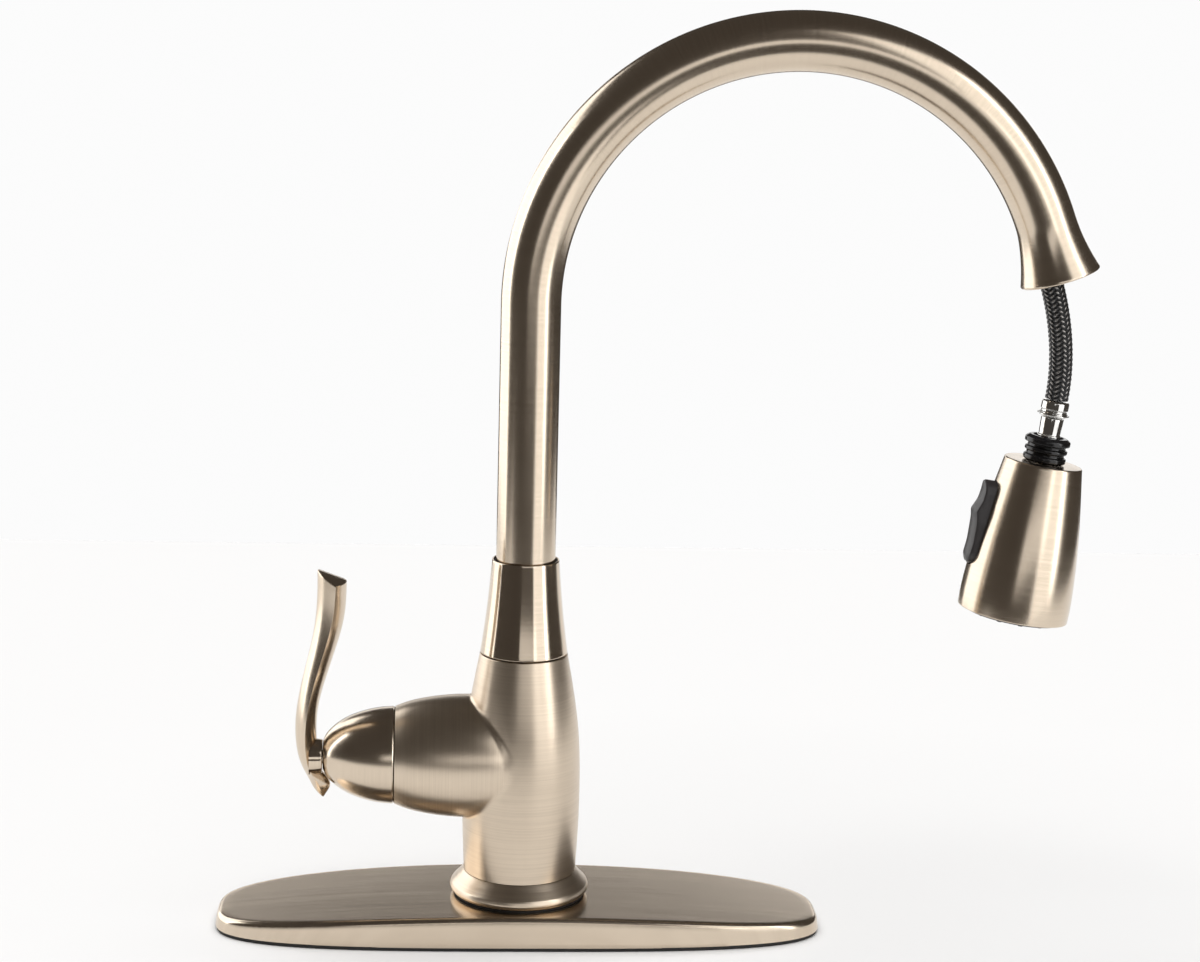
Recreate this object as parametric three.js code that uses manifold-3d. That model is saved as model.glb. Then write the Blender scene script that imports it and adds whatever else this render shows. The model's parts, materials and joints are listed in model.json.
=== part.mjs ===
// Pull-down kitchen faucet with a side lever, a swivelling gooseneck spout and a spray head that hangs on
// its braided hose. Millimetres, +Z up. The origin is on the column's axis at deck level, the spout reaches
// towards +X, the lever stands on the -X side, and -Y is the front.
import * as THREE from 'three';
import { mergeVertices } from 'three/addons/utils/BufferGeometryUtils.js';
import Module from 'manifold-3d';

const wasm = await Module();
wasm.setup();

// Deck plate
const plateLength = 260;
const plateWidth = 72;
const plateRoundness = 3.3;     // power of the superellipse outline
const plateCrown = 14.5;        // height of the plate's top at its middle
const plateArchRadius = 1150;   // the top falls away towards both ends along this radius
const plateWall = 1.8;
const plateHole = 22.6;
const gasketThick = 1.5;

// Column
const footRadius = 21.9;        // spigot that goes down through the base ring and the plate
const creaseHeight = 25.2;      // top of the base ring
const bodyTop = 120.6;
const borePlay = 0.3;           // gap between pieces that touch
const topBore = 14.9;           // bearing bore for the spout hub
const hubBottom = 93;
const hubTop = 124;
const hubRadius = 14.3;

// Side housing and handle, along X at this height
const handleHeight = 75;
const seamX = -54.1;            // outer edge of the housing's mouth
const pivotX = -62.4;           // cross pin that the handle tilts on
const seatRadius = 22.4;        // round seat in the housing's mouth, centred on the pivot
const cartridgeBore = 18;
const nutX = -41.5;

// Spout
const tubeRadius = 12.5;
const tubeBore = 11.3;
const tubeBottom = 124.3;
const archHeight = 269.4;       // where the straight leg ends
const archRadius = 110.1;
const archSweep = THREE.MathUtils.degToRad(161.7);
const tipLength = 20.5;         // straight end of the spout
const flareLength = 25;
const mouthRadius = 17.1;

// Hose and spray head
const hoseRadius = 5;
const hoseOffset = 4.2;         // how far the hose hugs the inner side of the mouth
const hoseInside = 50;          // length of the free hose inside the spout
const headTop = new THREE.Vector3(218.5, 0, 206.2);
const headTilt = THREE.MathUtils.degToRad(8.4);
const ferruleTop = 26.5;        // above the head's top

// Sides of a round piece: shells, inner pieces and small fasteners
const fine = 28;
const medium = 20;
const small = 12;

const finishes = {
  nickel: { color: 0xb5a892, roughness: 0.32, metalness: 1 },
  chrome: { color: 0xd8d6d0, roughness: 0.1, metalness: 1 },
  brass: { color: 0xb89552, roughness: 0.4, metalness: 1 },
  steel: { color: 0x8e8e8c, roughness: 0.35, metalness: 1 },
  rubber: { color: 0x141414, roughness: 0.8, metalness: 0 },
  blackPlastic: { color: 0x1b1a1a, roughness: 0.45, metalness: 0 },
  whitePlastic: { color: 0xd9d6cc, roughness: 0.5, metalness: 0 },
  ceramic: { color: 0xece8df, roughness: 0.25, metalness: 0 },
  braid: { color: 0x17171a, roughness: 0.5, metalness: 0.2 },
};

const faucet = new THREE.Group();

// ---------- helpers ----------

// Shared vertices joined, and triangles that collapsed to a line dropped.
function closed(geometry) {
  const bare = geometry.clone();
  bare.deleteAttribute('normal');
  bare.deleteAttribute('uv');
  const merged = mergeVertices(bare, 1e-4);
  const index = merged.getIndex().array;
  const kept = [];
  for (let i = 0; i < index.length; i += 3) {
    const [a, b, c] = [index[i], index[i + 1], index[i + 2]];
    if (a !== b && b !== c && c !== a) kept.push(a, b, c);
  }
  merged.setIndex(kept);
  return merged;
}

function toSolid(geometry) {
  const merged = closed(geometry);
  return new wasm.Manifold(new wasm.Mesh({
    numProp: 3,
    vertProperties: new Float32Array(merged.getAttribute('position').array),
    triVerts: new Uint32Array(merged.getIndex().array),
  }));
}

function toGeometry(solid) {
  const mesh = solid.getMesh();
  const geometry = new THREE.BufferGeometry();
  geometry.setAttribute('position', new THREE.BufferAttribute(new Float32Array(mesh.vertProperties), 3));
  geometry.setIndex(new THREE.BufferAttribute(new Uint32Array(mesh.triVerts), 1));
  return geometry;
}

function cut(geometry, ...tools) {
  let solid = toSolid(geometry);
  for (const tool of tools) solid = solid.subtract(toSolid(tool));
  return toGeometry(solid);
}

function join(geometry, ...others) {
  let solid = toSolid(geometry);
  for (const other of others) solid = solid.add(toSolid(other));
  return toGeometry(solid);
}

// Body of revolution about Z: points are [radius, height] and run upwards on the outside.
function turned(points, segments = medium) {
  const profile = points.map(([r, z]) => new THREE.Vector2(r, z));
  return new THREE.LatheGeometry(profile, segments).rotateX(Math.PI / 2);
}

// Closed ring profile: outer points upwards, then inner points downwards.
function turnedRing(outer, inner, segments = medium) {
  return turned([...outer, ...inner, outer[0]], segments);
}

function rod(radius, bottom, top, segments = medium) {
  return turned([[0, bottom], [radius, bottom], [radius, top], [0, top]], segments);
}

function pipe(outerRadius, innerRadius, bottom, top, segments = medium) {
  return turnedRing([[outerRadius, bottom], [outerRadius, top]], [[innerRadius, top], [innerRadius, bottom]],
    segments);
}

// Turns a shape made along Z so that it runs along +X at the handle's height.
function alongX(geometry) {
  return geometry.rotateY(Math.PI / 2).translate(0, 0, handleHeight);
}

function block(sizeX, sizeY, sizeZ, x, y, z) {
  return new THREE.BoxGeometry(sizeX, sizeY, sizeZ).translate(x, y, z);
}

// Solid through closed loops of points, each loop seen anticlockwise from its outer (last) end.
function loft(loops, firstCentre, lastCentre) {
  const count = loops[0].length;
  const points = [...loops.flat(), firstCentre, lastCentre];
  const first = points.length - 2;
  const last = points.length - 1;
  const index = [];
  for (let k = 0; k < loops.length - 1; k += 1) {
    for (let i = 0; i < count; i += 1) {
      const j = (i + 1) % count;
      const [a, b] = [k * count + i, k * count + j];
      index.push(a, b, b + count, a, b + count, a + count);
    }
  }
  const base = (loops.length - 1) * count;
  for (let i = 0; i < count; i += 1) {
    const j = (i + 1) % count;
    index.push(first, j, i);
    index.push(last, base + i, base + j);
  }
  const geometry = new THREE.BufferGeometry();
  const flat = new Float32Array(points.flatMap((p) => [p.x, p.y, p.z]));
  geometry.setAttribute('position', new THREE.BufferAttribute(flat, 3));
  geometry.setIndex(index);
  return geometry;
}

function addPiece(name, finish, geometry, parent = faucet) {
  const mesh = new THREE.Mesh(closed(geometry), new THREE.MeshStandardMaterial(finishes[finish]));
  mesh.name = name;
  parent.add(mesh);
}

// ---------- deck plate and base ring ----------

// Superellipse outline, drawn in by inset.
function plateOutline(inset, height, count = 32) {
  const [a, b] = [plateLength / 2 - inset, plateWidth / 2 - inset];
  const loop = [];
  for (let i = 0; i < count; i += 1) {
    const angle = (i / count) * 2 * Math.PI;
    const [c, s] = [Math.cos(angle), Math.sin(angle)];
    const x = a * Math.sign(c) * Math.abs(c) ** (2 / plateRoundness);
    const y = b * Math.sign(s) * Math.abs(s) ** (2 / plateRoundness);
    loop.push(new THREE.Vector3(x, y, height(x)));
  }
  return loop;
}

const plateTop = (x) => plateCrown - (x * x) / (2 * plateArchRadius);

function plateShape(wall) {
  const rows = [[0, 20], [0.7, 2.4], [1.3, 0.9], [2.8, 0]];
  const loops = rows.map(([inset, drop]) => plateOutline(
    inset + wall,
    (x) => Math.max(gasketThick, plateTop(x) - drop - wall),
  ));
  for (const share of [0.6, 0.25]) {
    const flat = plateOutline(wall, () => 0);
    loops.push(flat.map((p) => new THREE.Vector3(p.x * share, p.y * share, plateTop(p.x * share) - wall)));
  }
  return loft(loops, new THREE.Vector3(0, 0, gasketThick), new THREE.Vector3(0, 0, plateCrown - wall));
}

function deckPlate() {
  const hollow = plateShape(plateWall);
  const below = plateShape(plateWall).translate(0, 0, -0.6);
  return cut(plateShape(0), hollow, below, rod(plateHole, 0, 20, fine));
}

function deckGasket() {
  const outline = new THREE.Shape(plateOutline(0.9, () => 0).map((p) => new THREE.Vector2(p.x, p.y)));
  const hole = new THREE.Path();
  hole.absarc(0, 0, plateHole, 0, 2 * Math.PI, true);
  outline.holes.push(hole);
  return new THREE.ExtrudeGeometry(outline, { depth: gasketThick, bevelEnabled: false, curveSegments: 12 });
}

function baseRing() {
  const outer = [[28.4, 15.4], [29.7, 17], [29.5, 19], [26.2, 22.4], [24.3, 25]];
  return turnedRing(outer, [[footRadius + borePlay, 25], [footRadius + borePlay, 15.4]], fine);
}

// ---------- column ----------

const columnProfile = [[24, creaseHeight], [24.8, 42], [25.1, 60], [24.7, 78], [23.7, 90], [22.3, 100],
  [20.6, 110], [18.6, bodyTop]];

function housingShape() {
  const wrist = [[20.8, seamX], [22.4, -50], [23.8, -45], [25.1, -38], [26.2, -25], [25.8, -15], [24.3, -7],
    [21.8, 0], [12, 11]];
  return alongX(turned([[0, seamX], ...wrist, [0, 14]], fine));
}

function valveBody() {
  const column = turned([[0, 2], [footRadius, 2], [footRadius, creaseHeight], ...columnProfile, [0, bodyTop]], fine);
  const cavity = turned([[0, 1], [19, 1], [19, 22], [21.3, 30], [21.3, 80], [topBore, 92.5],
    [topBore, bodyTop + 1], [0, bodyTop + 1]], medium);
  const bore = alongX(rod(cartridgeBore, -56, -8, fine));
  const seat = new THREE.SphereGeometry(seatRadius, fine, 20).rotateZ(Math.PI / 2)
    .translate(pivotX, 0, handleHeight);
  const screwHole = rod(2.3, 0, 30, small).rotateX(-Math.PI / 2).translate(0, 0, 106);
  return cut(join(column, housingShape()), cavity, bore, seat, screwHole);
}

const portSides = [-6.2, 0, 6.2];   // hot, mixed and cold, front to back
const portRadius = 2.2;
const portX = -12;
const hoseWayX = 9;             // the hose passes the inlet block beside the axis

function inletBlock() {
  const disc = turned([[0, 0], [21.6, 0], [21.6, 1.7], [18.6, 1.7], [18.6, 12], [0, 12]]);
  const ports = portSides.map((y) => rod(portRadius, -1, 13, 8).translate(portX, y, 0));
  return cut(disc, ...ports, rod(hoseRadius + 0.5, -1, 13, small).translate(hoseWayX, 0, 0));
}

// Brass riser that carries hot and cold water up to the cartridge and mixed water back down.
function waterway() {
  const column = block(8, 18.6, 71.7, portX, 0, 48.15);
  const ports = portSides.map((y) => rod(portRadius, 11, handleHeight, 8).translate(portX, y, 0));
  const mouths = portSides.map((y) => rod(portRadius, -20, portX, 8).rotateY(Math.PI / 2)
    .translate(0, y, handleHeight));
  return cut(column, ...ports, ...mouths);
}

function addColumn() {
  addPiece('deck_gasket', 'rubber', deckGasket());
  addPiece('deck_plate', 'nickel', deckPlate());
  addPiece('base_seal', 'rubber', pipe(28.3, footRadius + borePlay, 14.55, 15.2, fine));
  addPiece('base_ring', 'nickel', baseRing());
  addPiece('valve_body', 'nickel', valveBody());
  addPiece('inlet_block', 'brass', inletBlock());
  addPiece('waterway', 'brass', waterway());
  const grub = rod(2, 14.7, 19.2, small).rotateX(-Math.PI / 2).translate(0, 0, 106);
  addPiece('spout_screw', 'steel', grub);
}

// ---------- cartridge ----------

function ringAlongX(outerRadius, innerRadius, from, to, segments = medium) {
  return alongX(pipe(outerRadius, innerRadius, from, to, segments));
}

function cartridgeBody() {
  const cup = ringAlongX(17.4, 14.3, -33.6, -17.4);
  const floor = alongX(rod(17.4, -20, -17.4));
  const ports = portSides.map((y) => rod(portRadius, -21, -16, 8).rotateY(Math.PI / 2).translate(0, y, handleHeight));
  return cut(join(cup, floor), ...ports);
}

function disc(radius, from, to, sides) {
  const ports = sides.map((y) => rod(portRadius, from - 1, to + 1, 8).rotateY(Math.PI / 2)
    .translate(0, y, handleHeight));
  return cut(alongX(rod(radius, from, to)), ...ports);
}

// Shaft with a disc carrier at its inner end and a fork for the cross pin at its outer end.
function cartridgeRotor() {
  const shaft = alongX(turned([[0, -60], [5.6, -60], [5.6, -43], [7.5, -42.4], [7.5, -33.4], [13.4, -33.4],
    [13.4, -27.2], [0, -27.2]]));
  const forkEnd = rod(4.2, -6, 6, 16).rotateX(Math.PI / 2).translate(pivotX, 0, handleHeight);
  const fork = block(6, 12, 8.4, pivotX + 3, 0, handleHeight);
  const slot = block(12, 6, 20, pivotX - 1, 0, handleHeight);
  const pinHole = rod(1.9, -10, 10, small).rotateX(Math.PI / 2).translate(pivotX, 0, handleHeight);
  return cut(join(shaft, forkEnd, fork), slot, pinHole);
}

function cartridgeNut() {
  const nut = ringAlongX(17.7, 9.5, nutX, -34, fine);
  const slots = [0, 1, 2, 3].map((i) => block(4, 3, 7, nutX, 0, 14)
    .rotateX((i * Math.PI) / 2).translate(0, 0, handleHeight));
  return cut(nut, ...slots);
}

function addCartridge() {
  addPiece('cartridge_body', 'whitePlastic', cartridgeBody());
  addPiece('cartridge_seal', 'rubber', disc(16.5, -17.2, -16.2, portSides).translate(-0.1, 0, 0));
  addPiece('fixed_disc', 'ceramic', disc(13.8, -23.4, -20.3, portSides));
  addPiece('moving_disc', 'ceramic', disc(13, -26.8, -23.7, [0]));
  addPiece('cartridge_rotor', 'brass', cartridgeRotor());
  addPiece('cartridge_nut', 'brass', cartridgeNut());
}

// ---------- handle ----------

const domeOuter = [[20.75, -55], [20.2, -61], [18.6, -68], [15.8, -75], [12.4, -80], [7.8, -84], [6.6, -84.6]];
const domeInner = [[4.5, -84.6], [4.5, -80.4], [7, -79.4], [13.2, -74.4], [16.6, -67.4], [18.3, -60], [18.6, -55]];
const skirtRadius = 21.9;       // round skirt behind the dome's rim, centred on the pivot, that closes the seam
const skirtWall = 0.9;
const skirtAngles = [51, 57, 63, 69].map(THREE.MathUtils.degToRad);
const plugX = -72;

function skirtArc(radius) {
  return skirtAngles.map((angle) => [radius * Math.sin(angle), pivotX + radius * Math.cos(angle)]);
}

function handleDome() {
  const skirt = [...skirtArc(skirtRadius - skirtWall).reverse(), ...skirtArc(skirtRadius)];
  const shell = alongX(turned([...domeInner, ...skirt, ...domeOuter, domeInner[0]].reverse(), fine));
  return cut(shell, rod(2.6, 50, 70, small).translate(plugX, 0, 0));
}

function handleHub() {
  const core = alongX(turned([[0, -79.1], [6.4, -79.1], [7.6, -77], [7.6, -67.3], [0, -67.3]], 16));
  const tongue = block(6, 5.2, 7.2, -64.6, 0, handleHeight);
  const tongueEnd = rod(3.6, -2.6, 2.6, small).rotateX(Math.PI / 2).translate(pivotX, 0, handleHeight);
  const pinHole = rod(1.8, -5, 5, small).rotateX(Math.PI / 2).translate(pivotX, 0, handleHeight);
  return cut(join(core, tongue, tongueEnd), pinHole, rod(2.1, 60, handleHeight - 2, small).translate(plugX, 0, 0));
}

const neckProfile = [[3, -80.3], [3, -84.9], [7.6, -84.9], [7.8, -86.2], [7.9, -88], [8.1, -89.6]];
const neckDrop = 1.2;           // the neck's axis lies a little below the handle's

function handleNeck() {
  return alongX(turned([[0, -80.3], ...neckProfile, [0, -89.6]].reverse(), medium)).translate(0, 0, -neckDrop);
}

// Lever, from the pointed tail up to the grip's end: height, outer face, inner face, half width, and how
// far from the outer towards the inner face its side ridges lie.
const leverStations = [
  [58.2, -87, -83, 1.6, 0.45], [62, -89.5, -81.5, 3.8, 0.45], [65, -91, -82.9, 5, 0.44],
  [68, -92.6, -85.2, 6.2, 0.44], [73, -94.7, -86.5, 7.2, 0.45], [80, -96.1, -87.2, 8, 0.48],
  [90, -96.4, -87.4, 8.1, 0.53], [100, -95.2, -86, 7.9, 0.56], [110, -93.2, -83.2, 7.8, 0.56],
  [120, -90.8, -80.1, 7.9, 0.57], [130, -88.8, -77.2, 8.2, 0.59], [140, -87.7, -75.5, 8.6, 0.62],
  [148, -87.4, -75.1, 9, 0.65],
];

// Lens-shaped section: a bold curve outside, a shallow one inside, meeting in a ridge on each side.
function leverSection([height, outer, inner, half, ridge], lift = () => 0) {
  const ridgeX = outer + (inner - outer) * ridge;
  const loop = [];
  const steps = 5;
  for (let i = 0; i < steps; i += 1) {
    const t = -1 + (2 * i) / steps;
    loop.push([inner + (ridgeX - inner) * t * t, t * half]);
  }
  for (let i = 0; i < steps; i += 1) {
    const t = 1 - (2 * i) / steps;
    loop.push([outer + (ridgeX - outer) * t * t, t * half]);
  }
  return loop.map(([x, y]) => new THREE.Vector3(x, y, height + lift(x, y / half)));
}

function handleLever() {
  const tail = new THREE.Vector3(-84.5, 0, 56.2);
  const loops = leverStations.map((station) => leverSection(station));
  const top = leverStations[leverStations.length - 1];
  const middle = (top[1] + top[2]) / 2;
  const roof = (x, across) => 5.5 - 0.36 * (x - middle) - 2.2 * Math.abs(across) ** 1.5;
  loops.push(leverSection([148, top[1] - 0.1, top[2], 9.1, top[4]], roof));
  const crest = new THREE.Vector3(middle, 0, 153.4);
  const socket = alongX(rod(8.4, -89.9, -70)).translate(0, 0, -neckDrop);
  return cut(loft(loops, tail, crest), socket);
}

function addHandle() {
  addPiece('handle_dome', 'nickel', handleDome());
  addPiece('handle_hub', 'brass', handleHub());
  addPiece('handle_pin', 'steel', rod(1.5, -5.8, 5.8, small).rotateX(Math.PI / 2).translate(pivotX, 0, handleHeight));
  addPiece('handle_screw', 'steel', rod(1.8, handleHeight - 12, handleHeight - 4, small).translate(plugX, 0, 0));
  addPiece('screw_plug', 'blackPlastic', turned([[0, 58.4], [1.6, 58.4], [2.3, 59], [2.3, 61.2], [0, 61.2]], small)
    .translate(plugX, 0, 0));
  addPiece('handle_neck', 'nickel', handleNeck());
  addPiece('handle_lever', 'nickel', handleLever());
}

// ---------- spout ----------

const archLength = archRadius * archSweep;
const spoutLength = archHeight + archLength + tipLength;

// Carries a shape made straight up the Z axis round the gooseneck: height becomes distance along it.
function bendAlongSpout(geometry) {
  const position = geometry.getAttribute('position');
  const p = new THREE.Vector3();
  for (let i = 0; i < position.count; i += 1) {
    p.fromBufferAttribute(position, i);
    const past = p.z - archHeight;
    if (past > 0) {
      const angle = Math.min(past / archRadius, archSweep);
      const straight = Math.max(past - archLength, 0);
      const reach = archRadius - p.x;
      const x = archRadius - reach * Math.cos(angle) + straight * Math.sin(angle);
      const z = archHeight + reach * Math.sin(angle) + straight * Math.cos(angle);
      position.setXYZ(i, x, p.y, z);
    }
  }
  return geometry;
}

function stationsAlong(from, to, step) {
  const count = Math.max(1, Math.round((to - from) / step));
  return Array.from({ length: count + 1 }, (_, i) => from + ((to - from) * i) / count);
}

function flare(distance, radius, swell) {
  const share = Math.max(0, (distance - (spoutLength - flareLength)) / flareLength);
  return radius + swell * share ** 1.8;
}

function spoutTube() {
  const heights = [tubeBottom, 200, ...stationsAlong(archHeight, spoutLength - flareLength, 15),
    ...stationsAlong(spoutLength - flareLength, spoutLength, 6).slice(1)];
  const swell = mouthRadius - tubeRadius;
  const outer = heights.map((s) => [flare(s, tubeRadius, swell), s]);
  const inner = heights.map((s) => [flare(s, tubeBore, swell - 0.2), s]).reverse();
  return bendAlongSpout(turnedRing(outer, inner));
}

function spoutHub() {
  const outer = [[hubRadius, hubBottom], [hubRadius, 95], [13, 95], [13, 99], [hubRadius, 99], [hubRadius, 101.9],
    [12.6, 101.9], [12.6, 104.7], [hubRadius, 104.7], [hubRadius, 107.9], [12.6, 107.9], [12.6, 110.7],
    [hubRadius, 110.7], [hubRadius, 113.5], [13, 113.5], [13, 118.5], [hubRadius, 118.5], [hubRadius, hubTop],
    [11, hubTop], [11, 132]];
  return turnedRing(outer, [[8, 132], [8, hubBottom]], 16);
}

function spoutCollar() {
  const outer = [[18.55, 121.2], [16.8, 134], [15.1, 150], [14.15, 161.3]];
  const inner = [[13.6, 161.3], [13.6, 159.2], [12.8, 159], [12.8, 124.4], [14.6, 124.2], [14.6, 121.2]];
  return turnedRing(outer, inner, fine);
}

function oRing(radius, thickness, height) {
  return new THREE.TorusGeometry(radius, thickness, 6, medium).translate(0, 0, height);
}

// Guide inside the mouth that the spray head's docking collar slides into.
function dockingGuide() {
  const [bottom, top] = [spoutLength - 1.2, spoutLength - 15];
  const outer = stationsAlong(top, bottom, 3.5).map((s) => [flare(s, tubeBore, mouthRadius - tubeRadius - 0.2) - 0.3, s]);
  return bendAlongSpout(turnedRing(outer, [[12.2, bottom], [10.3, top + 1], [10.3, top]]));
}

function addSpout() {
  addPiece('spout_hub', 'brass', spoutHub());
  addPiece('lower_glide_ring', 'whitePlastic', pipe(14.6, 13.3, 95.3, 98.7));
  addPiece('upper_glide_ring', 'whitePlastic', pipe(14.6, 13.3, 113.8, 118.2));
  addPiece('lower_o_ring', 'rubber', oRing(13.65, 0.95, 103.3));
  addPiece('upper_o_ring', 'rubber', oRing(13.65, 0.95, 109.3));
  addPiece('spout_collar', 'nickel', spoutCollar());
  addPiece('collar_o_ring', 'rubber', pipe(13.35, 12.7, 159.5, 161));
  addPiece('spout_tube', 'nickel', spoutTube());
  addPiece('docking_guide', 'blackPlastic', dockingGuide());
}

// ---------- hose ----------

// Mouth centre, the way out of the mouth and the outer side of the bend.
const mouthTilt = Math.PI - archSweep;
const mouthWay = new THREE.Vector3(Math.sin(mouthTilt), 0, -Math.cos(mouthTilt));
const mouthSide = new THREE.Vector3(Math.cos(mouthTilt), 0, Math.sin(mouthTilt));
const archEnd = new THREE.Vector3(
  archRadius + archRadius * Math.cos(mouthTilt),
  0,
  archHeight + archRadius * Math.sin(mouthTilt),
);
const mouthCentre = archEnd.clone().addScaledVector(mouthWay, tipLength);
const headUp = new THREE.Vector3(Math.sin(headTilt), 0, Math.cos(headTilt));

const headPoint = (up) => headTop.clone().addScaledVector(headUp, up);
const mouthPoint = (inside) => mouthCentre.clone().addScaledVector(mouthSide, -hoseOffset)
  .addScaledVector(mouthWay, -inside);

// Hose sections are eight-sided: a step every two or three diameters.
function hoseAlong(curve, steps) {
  const section = new THREE.Shape();
  section.absarc(0, 0, hoseRadius, 0, 2 * Math.PI, false);
  return new THREE.ExtrudeGeometry(section, { extrudePath: curve, steps, curveSegments: 4, bevelEnabled: false });
}

// Free hose: straight inside the mouth, then one even bend down to the ferrule.
function freeHoseCurve() {
  const points = [mouthPoint(hoseInside), mouthPoint(hoseInside / 2), mouthPoint(0)];
  const [start, end] = [mouthPoint(0), headPoint(ferruleTop + 2 * borePlay)];
  const pull = start.distanceTo(end) / 3;
  const bend = new THREE.CubicBezierCurve3(
    start,
    start.clone().addScaledVector(mouthWay, pull),
    end.clone().addScaledVector(headUp, pull),
    end,
  );
  const route = [...points, ...[0.25, 0.5, 0.75, 1].map((t) => bend.getPoint(t))];
  return new THREE.CatmullRomCurve3(route, false, 'centripetal');
}

// A point inside the gooseneck, by distance along it and offset from the tube's centre towards the outer side.
function insideSpout(distance, offset) {
  const angle = (distance - archHeight) / archRadius;
  const reach = archRadius + offset;
  return new THREE.Vector3(archRadius - reach * Math.cos(angle), 0, archHeight + reach * Math.sin(angle));
}

const upperHoseTop = spoutLength - 72;

function upperHoseCurve() {
  const low = mouthPoint(hoseInside + borePlay);
  return new THREE.CatmullRomCurve3([low, mouthPoint(hoseInside + 8), insideSpout(upperHoseTop, 1)], false,
    'centripetal');
}

const riserBottom = 94;

function hoseRiser() {
  const heights = [riserBottom, 180, ...stationsAlong(archHeight, upperHoseTop - 0.4, 22)];
  const outer = heights.map((s) => [hoseRadius, s]);
  const shape = turned([[0, heights[0]], ...outer, [0, heights[heights.length - 1]]], 10);
  const position = shape.getAttribute('position');
  for (let i = 0; i < position.count; i += 1) {
    const share = Math.max(0, (position.getZ(i) - archHeight) / (upperHoseTop - archHeight));
    position.setX(i, position.getX(i) - share);
  }
  return bendAlongSpout(shape);
}

function hoseLower() {
  const route = [[0, 93.6], [0, 84], [4, 62], [8.4, 40], [hoseWayX, 22], [hoseWayX, 1]]
    .map(([x, z]) => new THREE.Vector3(x, 0, z));
  return hoseAlong(new THREE.CatmullRomCurve3(route, false, 'centripetal'), 8);
}

function addHose() {
  addPiece('hose_lower', 'braid', hoseLower());
  addPiece('hose_riser', 'braid', hoseRiser());
  addPiece('hose_upper', 'braid', hoseAlong(upperHoseCurve(), 3));
  addPiece('hose_free', 'braid', hoseAlong(freeHoseCurve(), 12));
}

// ---------- spray head, built about its own axis with the top of its shell at 0 ----------

const shellProfile = [[23.6, -66.4], [23.7, -62], [23.4, -54], [22.4, -41], [20.9, -28], [18.8, -14], [16.6, -0.8],
  [16, 0]];
const shellWall = 2;
const buttonTop = -11.3;
const buttonBottom = -48.2;
const buttonHalf = 6.2;
const buttonMiddle = (buttonTop + buttonBottom) / 2;
const buttonPinX = -14.6;

// Long round-ended slot shape, pushed out along -X.
function buttonSlot(margin, from, to) {
  const reach = (buttonTop - buttonBottom) / 2 - buttonHalf;
  const shape = new THREE.Shape();
  shape.absarc(0, reach, buttonHalf + margin, 0, Math.PI, false);
  shape.absarc(0, -reach, buttonHalf + margin, Math.PI, 2 * Math.PI, false);
  const geometry = new THREE.ExtrudeGeometry(shape, { depth: to - from, bevelEnabled: false, curveSegments: 6 });
  return geometry.rotateX(Math.PI / 2).rotateZ(-Math.PI / 2).translate(-from, 0, buttonMiddle);
}

function headShell() {
  const inner = [...shellProfile].reverse().slice(2).map(([r, z]) => [r - shellWall, z]);
  const shell = turnedRing(shellProfile, [[7.5, 0], [7.5, -2.2], [14.6, -2.2], ...inner], fine);
  return cut(shell, buttonSlot(0.45, 15, 30));
}

function buttonPinHole() {
  return rod(1.3, -12, 12, 8).rotateX(Math.PI / 2).translate(buttonPinX, 0, buttonMiddle);
}

// Rocker seen from the side: a raised point above a long lower lobe. A lug behind it takes the pin.
function sprayButton() {
  const face = new THREE.Shape();
  face.moveTo(-17.2, buttonBottom + 0.4);
  face.lineTo(-22.9, buttonBottom + 0.3);
  face.quadraticCurveTo(-25.2, buttonBottom + 0.8, -25.8, buttonBottom + 3.6);
  face.quadraticCurveTo(-25.9, -41, -25.5, -37.6);
  face.lineTo(-25.6, -31.4);
  face.quadraticCurveTo(-26, -27, -26.2, -24.8);
  face.quadraticCurveTo(-24.6, -21.8, -24, -18.6);
  face.lineTo(-23.6, buttonTop - 1);
  face.lineTo(-22.8, buttonTop - 0.3);
  face.lineTo(-17.2, buttonTop - 0.3);
  const side = new THREE.ExtrudeGeometry(face, { depth: 20, bevelEnabled: false, curveSegments: 4 })
    .rotateX(Math.PI / 2).translate(0, 10, 0);
  const plan = toSolid(buttonSlot(0, 12, 32));
  const rocker = toGeometry(toSolid(side).intersect(plan));
  const lug = block(4.6, 9, 5.2, -15.1, 0, buttonMiddle);
  return cut(join(rocker, lug), buttonPinHole());
}

function waterCore() {
  const outer = [[8.5, -58], [8.5, -50], [7.5, -50], [7.5, -12], [11.5, -12], [11.5, -8], [7, -8], [7, -2.5]];
  const inner = [[5.2, -2.5], [5.2, -49], [6.4, -52], [6.4, -58]];
  const window = block(5, 4, 8, -6.5, 0, buttonMiddle);
  return cut(turnedRing(outer, inner, 16), window);
}

// Bracket on the core that the rocker's pin sits in.
function buttonBracket() {
  const base = block(2.4, 14.6, 12, -9.5, 0, buttonMiddle);
  const window = block(4, 4, 8, -9.5, 0, buttonMiddle);
  const cheeks = [-6.4, 6.4].map((y) => block(8, 1.8, 6, -12.6, y, buttonMiddle));
  return cut(join(base, ...cheeks), window, buttonPinHole());
}

const nozzleRings = [[12, 17.2], [7, 12.2]];   // how many, and on what radius
const nozzlePlaces = nozzleRings.flatMap(([count, radius]) => Array.from({ length: count }, (_, i) => {
  const angle = (i / count) * 2 * Math.PI;
  return [radius * Math.cos(angle), radius * Math.sin(angle)];
}));

function sprayFace() {
  const plate = turnedRing([[20.2, -66.2], [20.7, -65.4], [20.7, -62.6]], [[8.4, -62.6], [8.4, -66.2]], fine);
  return cut(plate, ...nozzlePlaces.map(([x, y]) => rod(1.35, -68, -60, 6).translate(x, y, 0)));
}

function nozzleMat() {
  const mat = pipe(20.4, 9, -62.3, -60.8, fine);
  const tips = nozzlePlaces.map(([x, y]) => turned([[0, -67.4], [0.8, -67.4], [1, -61.5], [0, -61.5]], 6)
    .translate(x, y, 0));
  return join(mat, ...tips);
}

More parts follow.
